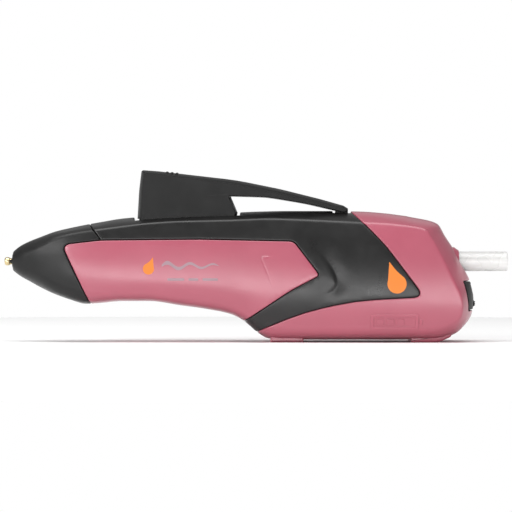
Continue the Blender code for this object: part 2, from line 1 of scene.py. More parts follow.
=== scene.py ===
"""Looks of the cordless glue gun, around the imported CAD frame.

Lengths in this script are millimetres, and MM turns them into the frame's metres. The body's skin is one
height field, the same one as in the CAD: a side surface inside a crease line, and a crowned band from the
crease to the centre line. Each casing piece is a region of that skin, drawn in a flat layout in which the
band is folded out beyond the crease, then lifted onto the skin as a closed shell with rounded edges.
"""

import json
from math import cos, pi, radians, sin

import bmesh
import bpy
import numpy as np
from mathutils import Matrix, Vector
from mathutils.geometry import delaunay_2d_cdt


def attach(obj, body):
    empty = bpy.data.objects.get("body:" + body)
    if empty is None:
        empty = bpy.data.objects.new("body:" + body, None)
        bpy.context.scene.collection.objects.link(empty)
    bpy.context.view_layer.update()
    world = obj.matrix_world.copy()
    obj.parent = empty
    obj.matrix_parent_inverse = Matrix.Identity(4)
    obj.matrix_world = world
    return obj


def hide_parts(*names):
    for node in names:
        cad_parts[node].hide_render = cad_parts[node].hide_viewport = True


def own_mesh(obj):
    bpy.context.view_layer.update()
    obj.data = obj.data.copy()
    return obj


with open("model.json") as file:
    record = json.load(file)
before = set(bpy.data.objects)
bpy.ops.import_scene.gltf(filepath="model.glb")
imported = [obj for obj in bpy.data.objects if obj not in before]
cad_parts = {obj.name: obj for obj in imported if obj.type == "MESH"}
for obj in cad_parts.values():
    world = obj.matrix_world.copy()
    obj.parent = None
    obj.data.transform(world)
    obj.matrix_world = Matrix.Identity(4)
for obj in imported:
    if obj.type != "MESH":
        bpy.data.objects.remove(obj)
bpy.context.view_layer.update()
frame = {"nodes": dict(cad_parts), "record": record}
MM = 0.001

# ---- sizes shared with the CAD ----

SIDES = ((-1, "left"), (1, "right"))
AXIS_Z = 28.9
STICK_R = 3.55
GAP = 0.12               # half of the gap between neighbouring panels
SPLIT = 0.1              # each half shell's distance from the centre plane
FILLET = 0.42            # rounding of a panel's edge
SHELL = 1.1              # thickness of the visible shells
SCREWS = ((-42.5, 19.6), (5.0, 14.0), (8.0, 39.5), (50.0, 38.5))
SCREW_OPENING = 2.9
LEVER_PIVOT = (30.8, 44.2)
LEVER_STROKE = radians(8.0)
LEVER_HALF_WIDTH = 6.3
CHEEK_INNER = 4.9
FEED_PER_RADIAN = 40.0
CAM_PIN_X = -24.0
CAM_PIN_R = 1.1

# x, silhouette top, crease top, half width at the crease top, height of the widest line, widest half
# width, crease bottom, half width there, silhouette bottom, sharpness of the shoulder crease
STATIONS = np.array((
    (-87.5, 32.3, 29.3, 3.4, 28.9, 3.45, 28.5, 3.4, 25.6, 0.5),
    (-84.9, 34.4, 29.9, 5.4, 28.9, 5.45, 27.9, 5.4, 23.6, 0.5),
    (-81.3, 36.2, 30.9, 7.2, 28.8, 7.3, 26.9, 7.2, 21.6, 0.5),
    (-77.7, 37.6, 32.5, 8.6, 28.6, 8.9, 25.4, 8.8, 19.6, 0.52),
    (-72.3, 39.6, 36.1, 9.6, 28.0, 10.7, 22.8, 10.4, 17.1, 0.6),
    (-66.9, 40.9, 38.2, 10.1, 26.5, 12.1, 20.6, 11.6, 15.2, 0.75),
    (-61.0, 42.1, 39.4, 10.4, 25.0, 13.0, 19.2, 12.4, 13.6, 0.85),
    (-56.0, 43.0, 40.2, 10.5, 24.0, 13.4, 18.6, 12.8, 13.9, 0.92),
    (-48.0, 44.3, 41.3, 10.6, 23.0, 13.7, 18.4, 13.0, 14.6, 1.0),
    (-38.1, 45.1, 42.5, 10.7, 22.5, 13.9, 18.0, 13.1, 14.6, 1.0),
    (-27.3, 45.6, 43.2, 10.8, 22.0, 14.0, 16.8, 13.1, 13.1, 1.0),
    (-18.0, 46.0, 43.4, 10.9, 21.5, 14.2, 15.6, 13.1, 11.8, 1.0),
    (-8.6, 46.4, 43.6, 11.0, 20.5, 14.5, 13.6, 13.2, 9.8, 1.0),
    (-4.2, 46.6, 43.8, 11.1, 20.0, 14.8, 11.6, 13.3, 7.4, 1.0),
    (0.5, 46.8, 44.0, 11.2, 19.5, 15.2, 8.6, 13.5, 3.4, 1.0),
    (4.4, 46.9, 44.1, 11.4, 19.0, 15.6, 7.2, 13.9, 1.2, 1.0),
    (10.0, 47.0, 44.0, 11.6, 18.5, 16.1, 6.6, 14.4, 0.8, 1.0),
    (18.0, 47.0, 43.7, 11.9, 18.0, 16.7, 6.3, 15.0, 0.8, 1.0),
    (28.0, 47.0, 43.2, 12.3, 17.0, 17.2, 6.2, 15.5, 0.8, 1.0),
    (38.0, 46.8, 42.7, 12.7, 16.5, 17.6, 6.2, 15.9, 0.8, 1.0),
    (47.0, 46.1, 42.3, 13.0, 16.0, 17.8, 6.3, 16.1, 0.8, 1.0),
    (54.0, 45.2, 41.6, 13.2, 15.5, 17.7, 6.4, 16.1, 0.8, 1.0),
    (74.0, 43.0, 41.0, 13.2, 15.0, 16.6, 6.8, 15.6, 0.8, 1.0),
))
BODY_ROWS = 22           # the last row only shapes the side surface beside the rear face
# The rear face's crease (x, z), the silhouette's point (x, z), crown power and crease sharpness
REAR = np.array((
    (60.0, 40.4, 65.2, 42.4, 2.0, 1.0),
    (62.0, 37.4, 68.0, 38.0, 2.0, 1.0),
    (65.9, 30.5, 72.3, 31.4, 2.0, 1.0),
    (69.8, 22.6, 76.2, 23.8, 2.0, 1.0),
    (72.6, 16.4, 78.0, 18.0, 2.0, 1.0),
    (73.2, 13.0, 78.25, 14.8, 2.0, 1.0),
    (72.6, 9.2, 77.5, 10.0, 2.1, 0.95),
    (70.4, 7.4, 75.2, 6.4, 2.6, 0.7),
    (66.4, 6.8, 71.2, 2.8, 2.8, 0.6),
    (61.0, 6.5, 64.4, 0.9, 3.0, 0.55),
))

# Outlines in the side view: corner x, z and corner radius
GRIP_PANEL = (
    (-69.3, 34.9, 2.4), (-55.4, 36.5, 40.0), (-20.0, 36.8, 90.0), (13.4, 36.1, 3.6), (22.6, 23.9, 1.3),
    (12.1, 18.4, 40.0), (2.9, 12.2, 60.0), (-6.5, 6.0, 0.0), (-10.0, -5.0, 0.0), (-50.4, -5.0, 0.0),
)
REAR_COVER = (
    (-9.0, -2.0, 0.0), (0.1, 3.8, 60.0), (17.0, 10.8, 80.0), (35.0, 14.9, 90.0), (59.6, 16.3, 2.3),
    (46.1, 34.5, 60.0), (38.2, 42.7, 40.0), (30.0, 50.8, 0.0), (95.0, 51.0, 0.0), (95.0, -8.0, 0.0),
    (-9.0, -8.0, 0.0),
)
NOSE = (
    (-63.3, 47.0, 0.0), (-55.3, 36.55, 0.4), (-69.3, 34.9, 2.4), (-50.4, -5.0, 0.0), (-95.0, -5.0, 0.0),
    (-95.0, 47.0, 0.0),
)
LEVER_OUTLINE = (
    (-42.75, 42.5, 0.0), (-42.1, 54.1, 30.0), (-41.2, 61.75, 1.0), (-35.0, 61.3, 20.0), (-7.1, 58.1, 90.0),
    (8.7, 54.9, 90.0), (23.1, 51.3, 90.0), (31.4, 48.95, 1.6), (33.3, 47.6, 1.2), (31.7, 46.35, 0.5),
    (17.9, 49.6, 90.0), (4.0, 51.9, 40.0), (-9.1, 52.3, 0.4), (-6.6, 46.4, 0.0), (-7.4, 42.5, 0.0),
)
CHEEK_OUTLINE = (
    (-40.4, 50.0, 0.0), (-40.4, 43.0, 0.5), (-37.6, 43.0, 1.0), (-34.6, 38.0, 1.0), (-26.6, 26.4, 2.0),
    (-21.4, 26.4, 2.0), (-20.4, 31.0, 3.0), (-8.2, 43.0, 1.0), (-8.2, 50.0, 0.0),
)
LEVER_HOLLOW = (
    (-44.0, 20.0), (-44.0, 44.2), (-39.3, 44.2), (-39.0, 54.0), (-38.0, 58.8), (-34.0, 58.6), (-20.0, 56.9),
    (-10.8, 55.4), (-10.6, 51.8), (-9.0, 46.4), (-9.0, 20.0),
)
BELT_VALLEY = ((14.9, 37.3), (20.3, 33.8), (24.7, 29.0), (27.4, 24.6), (28.3, 21.4), (27.7, 19.4), (25.9, 18.2))


# ---- plain geometry ----

LONGEST_CHORD = 48       # in points

def rounded(corners, step=radians(6)):
    """A closed outline of (x, z) points from corners of (x, z, radius), as in the CAD."""
    outline = []
    for index, (x, z, radius) in enumerate(corners):
        before = Vector(corners[index - 1][:2])
        here = Vector((x, z))
        after = Vector(corners[(index + 1) % len(corners)][:2])
        back, ahead = (before - here), (after - here)
        room = 0.45 * min(back.length, ahead.length)
        back.normalize()
        ahead.normalize()
        angle = back.angle(ahead)
        turn = pi - angle
        if radius == 0.0 or turn < radians(0.5):
            outline.append(here)
            continue
        reach = min(radius * abs(cos(angle / 2) / max(1e-6, sin(angle / 2))), room)
        start, end = here + back * reach, here + ahead * reach
        count = max(2, round(turn / step))
        for k in range(count + 1):
            t = k / count
            outline.append(start * (1 - t) ** 2 + here * 2 * t * (1 - t) + end * t ** 2)
    return np.array([tuple(point) for point in outline])


def circle(x, z, radius, count=48):
    angles = np.arange(count) * 2 * pi / count
    return np.column_stack((x + radius * np.cos(angles), z + radius * np.sin(angles)))


def respaced(path, step, closed=True):
    """The same line through points at an even spacing, which keeps its corners."""
    points = np.vstack((path, path[:1])) if closed else np.asarray(path)
    out = []
    for a, b in zip(points, points[1:]):
        count = max(1, int(np.ceil(np.linalg.norm(b - a) / step)))
        out += [a + (b - a) * k / count for k in range(count)]
    if not closed:
        out.append(points[-1])
    return np.array(out)


def offset(loop, distance):
    """A closed loop moved to its left by a distance."""
    before = loop - np.roll(loop, 1, axis=0)
    after = np.roll(loop, -1, axis=0) - loop
    before /= np.linalg.norm(before, axis=1)[:, None] + 1e-12
    after /= np.linalg.norm(after, axis=1)[:, None] + 1e-12
    mean = before + after
    normal = np.column_stack((-mean[:, 1], mean[:, 0]))
    normal /= np.linalg.norm(normal, axis=1)[:, None] + 1e-12
    lean = normal[:, 0] * -before[:, 1] + normal[:, 1] * before[:, 0]
    return loop + normal * (distance / np.maximum(0.4, lean))[:, None]


def inwards(loop, distance):
    """The loop moved into its own inside, or out of it for a negative distance."""
    area = np.sum(loop[:, 0] * np.roll(loop[:, 1], -1) - np.roll(loop[:, 0], -1) * loop[:, 1])
    return offset(loop, distance if area > 0 else -distance)


def thinned(loop, tolerance=0.006):
    """A closed loop without the points that a straight line replaces."""
    kept, here, count = [], 0, len(loop)
    while here < count:
        kept.append(here)
        span = min(LONGEST_CHORD, count // 3, count - here)
        while span > 1:
            chord = loop[(here + span) % count] - loop[here]
            between = loop[here + 1:here + span] - loop[here]
            away = np.abs(between[:, 0] * chord[1] - between[:, 1] * chord[0])
            if away.max() <= tolerance * np.linalg.norm(chord):
                break
            span //= 2
        here += span
    return loop[kept]


def inside_depth(points, loop):
    """Distance to a closed loop, positive inside it and negative outside."""
    points = np.asarray(points, np.float32)
    ax, ay = np.asarray(loop, np.float32).T
    bx, by = np.roll(ax, -1), np.roll(ay, -1)
    run_x, run_y = bx - ax, by - ay
    size = np.maximum(1e-9, run_x * run_x + run_y * run_y)
    slope = run_x / np.where(np.abs(run_y) < 1e-9, np.float32(1e-9), run_y)
    depth = np.empty(len(points))
    chunk = max(200, 150000 // len(loop))
    for start in range(0, len(points), chunk):
        px, py = points[start:start + chunk, 0:1], points[start:start + chunk, 1:2]
        rel_x, rel_y = px - ax, py - ay
        along = np.clip((rel_x * run_x + rel_y * run_y) / size, 0.0, 1.0)
        near = (rel_x - along * run_x) ** 2
        near += (rel_y - along * run_y) ** 2
        crossed = ((ay > py) != (by > py)) & (rel_x < slope * rel_y)
        within = np.count_nonzero(crossed, axis=1) % 2 == 1
        distance = np.sqrt(near.min(axis=1))
        depth[start:start + chunk] = np.where(within, distance, -distance)
    return depth


def line_distance(points, path):
    """Distance to an open line, and which side of it a point is on (positive to its right)."""
    a, b = path[:-1], path[1:]
    run = b - a
    rel = points[:, None, :] - a[None]
    along = np.clip(np.sum(rel * run, axis=2) / np.sum(run * run, axis=1), 0.0, 1.0)
    gap = rel - along[..., None] * run
    size = np.sqrt(np.sum(gap * gap, axis=2))
    pick = np.argmin(size, axis=1)
    row = np.arange(len(points))
    cross = run[pick, 1] * rel[row, pick, 0] - run[pick, 0] * rel[row, pick, 1]
    return size[row, pick] * np.sign(cross), pick / len(a)


def smooth_curve(xs, ys, at):
    """Monotone cubic interpolation of columns of values."""
    xs, ys = np.asarray(xs, float), np.asarray(ys, float)
    gap = np.diff(xs)[:, None]
    slope = np.diff(ys, axis=0) / gap
    tangent = np.zeros_like(ys)
    same = slope[:-1] * slope[1:] > 0
    w1, w2 = 2 * gap[1:] + gap[:-1], gap[1:] + 2 * gap[:-1]
    with np.errstate(divide="ignore", invalid="ignore"):
        mean = (w1 + w2) / (w1 / slope[:-1] + w2 / slope[1:])
    tangent[1:-1] = np.where(same, mean, 0.0)
    tangent[0], tangent[-1] = slope[0], slope[-1]
    at = np.clip(at, xs[0], xs[-1])
    cell = np.clip(np.searchsorted(xs, at) - 1, 0, len(xs) - 2)
    width = (xs[cell + 1] - xs[cell])[:, None]
    t = ((at - xs[cell])[:, None]) / width
    return ((2 * t ** 3 - 3 * t ** 2 + 1) * ys[cell] + (t ** 3 - 2 * t ** 2 + t) * width * tangent[cell]
            + (3 * t ** 2 - 2 * t ** 3) * ys[cell + 1] + (t ** 3 - t ** 2) * width * tangent[cell + 1])


# ---- the body's skin ----

def side_width(x, z):
    """Half width of the body's side surface at points of the side view."""
    row = smooth_curve(STATIONS[:, 0], STATIONS[:, 1:], x)
    top, top_width, widest_z, widest, bottom, bottom_width = row[:, 1:7].T
    up = np.clip((z - widest_z) / (top - widest_z), 0.0, 1.15)
    down = np.clip((widest_z - z) / (widest_z - bottom), 0.0, 1.3)
    above = widest - (widest - top_width) * up ** 2
    below = widest - (widest - bottom_width) * down ** 2.2
    return np.where(z >= widest_z, above, below)


class Skin:
    """The skin in its flat layout. Inside the crease a layout point is the side view's (x, z). Beyond it,
    the point lies on a rib's ray, as far from the crease as the skin is long up to there."""

    STEP = 0.3
    REACH = 1.12         # how far past the centre line the layout goes, in lengths of a rib
    ALONG = 190          # ribs along the top, and as many along the bottom

    def __init__(self):
        self.make_ribs()
        self.make_lengths()
        self.make_grid()

    def make_ribs(self):
        xs = np.linspace(STATIONS[0, 0], STATIONS[BODY_ROWS - 1, 0], self.ALONG)
        rows = smooth_curve(STATIONS[:, 0], STATIONS[:, 1:], xs)
        top, crease_top, crease_low, low, sharp = rows[:, 0], rows[:, 1], rows[:, 5], rows[:, 7], rows[:, 8]
        upper = np.column_stack((xs, crease_top, xs, top, np.full_like(xs, 2.0), sharp))
        power = np.clip(2.0 + 1.2 * (xs + 78.0) / 6.0, 2.0, 3.2)
        lower = np.column_stack((xs, crease_low, xs, low, power, np.full_like(xs, 0.5)))[::-1]
        rear = np.vstack((upper[-1:], REAR, lower[:1]))
        keys = np.concatenate(([0.0], np.cumsum(np.linalg.norm(np.diff(rear[:, 2:4], axis=0), axis=1))))
        rear = smooth_curve(keys, rear, np.linspace(0.0, keys[-1], 150)[1:-1])
        front = np.array(((-87.5, AXIS_Z, -87.9, AXIS_Z, 2.0, 0.9),))
        rows = np.vstack((upper, rear, lower, front, upper[:1]))
        self.crease, self.edge = rows[:, :2], rows[:, 2:4]
        self.power, self.sharp = rows[:, 4], rows[:, 5]
        run = self.edge - self.crease
        self.rise = np.linalg.norm(run, axis=1)
        self.ray = run / self.rise[:, None]
        self.width = side_width(self.crease[:, 0], self.crease[:, 1])
        self.rear_start, self.rear_end = len(upper), len(upper) + len(rear)

    def make_lengths(self):
        """For each rib, the centre parameter t (1 at the crease, 0 at the centre) by length along it."""
        t = 1.0 - np.linspace(0.0, 1.0, 120) ** 2
        climb = (1 - t[None] ** self.power[:, None]) ** self.sharp[:, None]
        run = np.hypot(np.diff(climb, axis=1) * self.rise[:, None], np.diff(t)[None] * self.width[:, None])
        length = np.hstack((np.zeros((len(run), 1)), np.cumsum(run, axis=1)))
        self.length = length[:, -1]
        even = np.linspace(0.0, 1.0, 90)
        self.t_table = np.array([np.interp(even, row / row[-1], t) for row in length])

    def find_rib(self, points):
        """The rib (as a float index) and the distance along its ray, or -1 for points inside the crease."""
        rib = np.full(len(points), -1.0)
        reach = np.zeros(len(points))
        for start in range(0, len(points), 3000):
            part = points[start:start + 3000]
            rel = part[:, None, :] - self.crease[None]
            cross = self.ray[:, 0] * rel[..., 1] - self.ray[:, 1] * rel[..., 0]
            ahead = np.sum(rel * self.ray, axis=2)
            hit = (cross[:, :-1] <= 1e-9) & (cross[:, 1:] >= -1e-9)
            hit &= (ahead[:, :-1] > -1e-6) & (ahead[:, 1:] > -1e-6)
            cost = np.where(hit, ahead[:, :-1], 1e9)
            pick = np.argmin(cost, axis=1)
            rows = np.arange(len(part))
            found = cost[rows, pick] < 1e8
            c0, c1 = cross[rows, pick], cross[rows, pick + 1]
            f = np.where(np.abs(c1 - c0) > 1e-12, -c0 / np.where(c1 == c0, 1.0, c1 - c0), 0.0)
            f = np.clip(f, 0.0, 1.0)
            a0, a1 = ahead[rows, pick], ahead[rows, pick + 1]
            rib[start:start + 3000] = np.where(found, pick + f, -1.0)
            reach[start:start + 3000] = np.where(found, a0 + (a1 - a0) * f, 0.0)
        return rib, reach

    def at_rib(self, values, rib):
        low = np.clip(rib.astype(int), 0, len(values) - 2)
        f = rib - low
        return values[low] + (values[low + 1] - values[low]) * (f[:, None] if values.ndim > 1 else f)

    def raise_points(self, points):
        """Layout points to places on the unsmoothed skin."""
        rib, reach = self.find_rib(points)
        place = np.column_stack((points[:, 0], side_width(points[:, 0], points[:, 1]), points[:, 1]))
        out = rib >= 0
        u = rib[out]
        part = np.clip(reach[out] / self.at_rib(self.length, u), 0.0, self.REACH)
        inner = np.minimum(part, 2.0 - part)
        column = inner * (self.t_table.shape[1] - 1)
        low_c = np.clip(column.astype(int), 0, self.t_table.shape[1] - 2)
        low_r = np.clip(u.astype(int), 0, len(self.t_table) - 2)
        fc, fr = column - low_c, u - low_r
        table = self.t_table
        t = ((table[low_r, low_c] * (1 - fc) + table[low_r, low_c + 1] * fc) * (1 - fr)
             + (table[low_r + 1, low_c] * (1 - fc) + table[low_r + 1, low_c + 1] * fc) * fr)
        climb = (1 - np.clip(t, 0, 1) ** self.at_rib(self.power, u)) ** self.at_rib(self.sharp, u)
        spot = self.at_rib(self.crease, u)
        spot = spot + (self.at_rib(self.edge, u) - spot) * climb[:, None]
        side = np.where(part > 1.0, -t, t) * self.at_rib(self.width, u)
        place[out] = np.column_stack((spot[:, 0], side, spot[:, 1]))
        return place

    def make_grid(self):
        self.low = np.array((-95.0, -16.0))
        count = np.array((int(189 / self.STEP), int(80 / self.STEP)))
        xs = self.low[0] + np.arange(count[0]) * self.STEP
        zs = self.low[1] + np.arange(count[1]) * self.STEP
        flat = np.stack(np.meshgrid(xs, zs, indexing="ij"), axis=2).reshape(-1, 2)
        self.grid = self.raise_points(flat).reshape(count[0], count[1], 3)
        kernel = np.exp(-0.5 * (np.arange(-4, 5) * self.STEP / 0.42) ** 2)
        kernel /= kernel.sum()
        for axis in (0, 1):
            edge = [(4, 4) if a == axis else (0, 0) for a in range(3)]
            padded = np.pad(self.grid, edge, mode="edge")
            size = self.grid.shape[axis]
            self.grid = sum(k * np.take(padded, range(i, i + size), axis=axis) for i, k in enumerate(kernel))
        across = np.cross(np.gradient(self.grid, axis=0), np.gradient(self.grid, axis=1))
        across /= np.linalg.norm(across, axis=2)[..., None] + 1e-15
        self.normal = -across

    def sample(self, values, points):
        spot = (points - self.low) / self.STEP
        cell = np.clip(spot.astype(int), 0, np.array(values.shape[:2]) - 2)
        f = np.clip(spot - cell, 0.0, 1.0)
        i, j = cell.T
        fi, fj = f[:, :1], f[:, 1:]
        return ((values[i, j] * (1 - fj) + values[i, j + 1] * fj) * (1 - fi)
                + (values[i + 1, j] * (1 - fj) + values[i + 1, j + 1] * fj) * fi)

    def lift(self, points):
        """Place and outward normal of layout points on the right half, at +Y."""
        normal = self.sample(self.normal, points)
        return self.sample(self.grid, points), normal / (np.linalg.norm(normal, axis=1)[:, None] + 1e-12)

    def to_layout(self, outline):
        """A side-view line's points in the layout."""
        points = np.asarray(outline, float)
        rib, reach = self.find_rib(points)
        out = rib >= 0
        u = rib[out]
        part = reach[out] / self.at_rib(self.rise, u)
        past = np.maximum(0.0, part - 1.0) * self.at_rib(self.rise, u)
        power, sharp = self.at_rib(self.power, u), self.at_rib(self.sharp, u)
        t = (1 - np.clip(part, 0.0, 1.0) ** (1 / sharp)) ** (1 / power)
        low = np.clip(u.astype(int), 0, len(self.t_table) - 1)
        even = np.linspace(0.0, 1.0, self.t_table.shape[1])
        share = np.array([np.interp(-value, -self.t_table[row], even) for value, row in zip(t, low)])
        far = share * self.at_rib(self.length, u) + past
        ray = self.at_rib(self.ray, u)
        ray /= np.linalg.norm(ray, axis=1)[:, None]
        points = points.copy()
        points[out] = self.at_rib(self.crease, u) + ray * far[:, None]
        return points

    def centre_line(self):
        return (self.crease + self.ray * self.length[:, None])[:-1]

    def rear_layout(self, outline):
        """Points (y, z) on the rear face in the layout."""
        ribs = np.linspace(self.rear_start, self.rear_end - 1, 160)
        parts = np.linspace(0.02, self.REACH - 0.01, 90)
        ray = self.at_rib(self.ray, ribs)
        spots = (self.at_rib(self.crease, ribs)[:, None]
                 + ray[:, None] * (self.at_rib(self.length, ribs)[:, None] * parts)[..., None])
        spots = spots.reshape(-1, 2)
        places = self.sample(self.grid, spots)[:, 1:]
        found = []
        for target in np.asarray(outline, float):
            spot = spots[np.argmin(np.sum((places - target) ** 2, axis=1))].copy()
            for _ in range(6):
                probe = np.array((spot, spot + (0.2, 0), spot + (0, 0.2)))
                here, dx, dz = self.sample(self.grid, probe)[:, 1:]
                slope = np.column_stack(((dx - here) / 0.2, (dz - here) / 0.2))
                step = np.linalg.lstsq(slope, target - here, rcond=None)[0]
                spot += np.clip(step, -1.0, 1.0)
            found.append(spot)
        return np.array(found)


skin = Skin()
CENTRE = skin.centre_line()
CREASE = skin.crease[:-1]
CENTRE_LINE, CREASE_LINE = thinned(CENTRE), thinned(CREASE)


# ---- casing pieces ----

def add_casing(name, verts, faces, look, normals, node):
    """A smooth-shaded piece of the body from points in millimetres, which may stand for a CAD node."""
    mesh = bpy.data.meshes.new(name)
    mesh.from_pydata([tuple(v) for v in np.asarray(verts) * MM], [], [tuple(map(int, f)) for f in faces])
    mesh.validate()
    mesh.shade_smooth()
    own = np.array([tuple(v.vector) for v in mesh.vertex_normals])
    use = np.linalg.norm(normals, axis=1) > 0.5
    own[use] = normals[use]
    mesh.normals_split_custom_set_from_vertices([tuple(n) for n in own])
    item = bpy.data.objects.new(name, mesh)
    bpy.context.scene.collection.objects.link(item)
    mesh.materials.append(look)
    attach(item, "body")
    if node:
        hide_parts(node)


class Region:
    """A region of the layout: inside some loops, outside others, all kept clear of by a gap."""

    def __init__(self, inside=(), outside=(), gap=GAP, split=SPLIT, merge=False):
        self.inside, self.outside = [list(loops) for loops in (inside, outside)]
        self.inside_lines = [thinned(loop) for loop in inside]
        self.outside_lines = [thinned(loop) for loop in outside]
        self.gap, self.merge = gap, merge
        self.split = 0.0 if merge else split

    def edge_depth(self, points):
        """Distance in from the piece's own edges, where the centre line counts unless it is merged."""
        depth = np.full(len(points), 1e3)
        for loop in self.inside_lines:
            depth = np.minimum(depth, inside_depth(points, loop) - self.gap)
        for loop in self.outside_lines:
            depth = np.minimum(depth, -inside_depth(points, loop) - self.gap)
        if not self.merge:
            depth = np.minimum(depth, inside_depth(points, CENTRE_LINE) - self.split)
        return depth

    def loops(self, distance):
        """The boundary loops moved into the piece."""
        far = self.gap + distance
        found = [inwards(loop, far) for loop in self.inside] + [inwards(loop, -far) for loop in self.outside]
        return found + [inwards(CENTRE, 0.0 if self.merge else self.split + distance)]


RINGS = (0.05, 0.17, 0.38, 0.66, 1.0)   # rings of points across a rounded edge, in shares of its fillet
COARSE = 2.0                            # a wider spacing than this makes a plain piece of few points


def layout_points(region, fillet, spacing, features=()):
    """Rings of points along the edges, then along the crease and other features, then an even field."""
    points = []
    coarse = spacing > COARSE
    for share in RINGS[-1:] if coarse else RINGS:
        distance = share * fillet
        for loop in region.loops(distance):
            step = min(0.6, spacing / 2)
            ring = respaced(thinned(loop, 0.02), 3 * step) if coarse else respaced(loop, step)
            depth = region.edge_depth(ring)
            keep = np.abs(depth - distance) < 0.03
            if region.merge:
                keep &= inside_depth(ring, CENTRE_LINE) > 0.15
            points.append(ring[keep])
    crease = respaced(thinned(CREASE, 0.01), 3.0 if coarse else 1.0)
    for away in (-0.8, 0.1, 1.0) if coarse else (-1.2, -0.7, -0.35, -0.05, 0.25, 0.6, 1.2):
        line = inwards(crease, -away)
        points.append(line[region.edge_depth(line) > fillet + 0.25])
    for path in features:
        for away in (-0.7, -0.4, -0.2, 0.0, 0.2, 0.4, 0.7):
            line = respaced(np.array(path, float), 0.7, closed=False)
            run = np.gradient(line, axis=0)
            across = np.column_stack((run[:, 1], -run[:, 0]))
            line = line + across / np.linalg.norm(run, axis=1)[:, None] * away
            points.append(line[region.edge_depth(line) > fillet + 0.25])
    corners = np.vstack(region.inside or [CENTRE])
    low, high = corners.min(axis=0) - 1, corners.max(axis=0) + 1
    row = spacing * 0.866
    field = [(x + (spacing / 2 if k % 2 else 0.0), z) for k, z in enumerate(np.arange(low[1], high[1], row))
             for x in np.arange(low[0], high[0], spacing)]
    field = np.array(field)
    keep = region.edge_depth(field) > fillet + 0.35 * spacing
    keep &= inside_depth(field, CENTRE_LINE) > 0.35 * spacing
    keep &= np.abs(inside_depth(field, CREASE_LINE) + 0.05) > 1.7
    points.append(field[keep])
    return np.vstack(points)


def triangulate(region, extra, spacing):
    """Constrained triangulation of the region, as points and faces."""
    verts, edges = [], []
    for loop in region.loops(0.0):
        coarse = spacing > COARSE
        ring = respaced(thinned(loop, 0.02), 3.0) if coarse else respaced(loop, min(0.6, spacing / 2))
        start = len(verts)
        verts += [Vector(p) for p in ring]
        edges += [(start + k, start + (k + 1) % len(ring)) for k in range(len(ring))]
    verts += [Vector(p) for p in extra]
    out_verts, _, out_faces, *_ = delaunay_2d_cdt(verts, edges, [], 0, 0.01)
    points = np.array([tuple(v) for v in out_verts])
    faces = np.array([f for f in out_faces if len(f) == 3])
    middle = points[faces].mean(axis=1)
    keep = (region.edge_depth(middle) > 0.0) & (inside_depth(middle, CENTRE_LINE) > 0.0)
    faces = faces[keep]
    used, faces = np.unique(faces, return_inverse=True)
    faces = faces.reshape(-1, 3)
    points = points[used]
    a, b, c = (points[faces[:, k]] for k in range(3))
    turn = (b[:, 0] - a[:, 0]) * (c[:, 1] - a[:, 1]) - (b[:, 1] - a[:, 1]) * (c[:, 0] - a[:, 0])
    faces[turn < 0] = faces[turn < 0][:, ::-1]
    return points, faces


def shell_half(region, side, fillet, thick, spacing, shape=None, raised=0.0, features=()):
    """One side of a casing piece as a shell: (verts, faces, normals)."""
    points, faces = triangulate(region, layout_points(region, fillet, spacing, features), spacing)
    depth = np.maximum(0.0, region.edge_depth(points))
    place, normal = skin.lift(points)
    near = np.clip(1 - depth / fillet, 0.0, 1.0)
    sunk = fillet * (1 - np.sqrt(np.maximum(0.0, 1 - near ** 2)))
    if shape is not None:
        place = place + normal * shape(points)[:, None]
    if region.merge:
        on_centre = inside_depth(points, CENTRE_LINE) < 0.03
        place[on_centre, 1] = 0.0
    front = place + normal * (raised - sunk)[:, None]
    back = place - normal * thick
    if region.merge:
        back[on_centre, 1] = 0.0
    else:
        back[:, 1] = np.maximum(back[:, 1], SPLIT * 0.7)
        front[:, 1] = np.maximum(front[:, 1], SPLIT * 0.7)
    count = len(points)
    edges = {}
    for face in faces:
        for a, b in zip(face, np.roll(face, -1)):
            edges[(a, b)] = edges.get((a, b), 0) + 1
    rim = [(a, b) for a, b in edges if (b, a) not in edges]
    if region.merge:
        rim = [(a, b) for a, b in rim if not (on_centre[a] and on_centre[b])]
    skin_faces = [tuple(f[::-1]) for f in faces] + [tuple(f + count) for f in faces]
    skin_faces += [(a, b, b + count, a + count) for a, b in rim]
    verts = np.vstack((front, back))
    exact = np.where((depth >= fillet * 0.98)[:, None], normal, 0.0)
    if shape is not None:
        exact *= 0.0
    normals = np.vstack((exact, np.zeros_like(exact)))
    if side < 0:
        verts[:, 1] *= -1
        normals[:, 1] *= -1
        skin_faces = [f[::-1] for f in skin_faces]
    return verts, skin_faces, normals


def casing(name, look, region, side, node=None, fillet=FILLET, thick=SHELL, spacing=1.6, shape=None,
           raised=0.0, features=()):
    """A casing piece on one side."""
    verts, faces, normals = shell_half(region, side, fillet, thick, spacing, shape, raised, features)
    add_casing(name, verts, faces, look, normals, node)


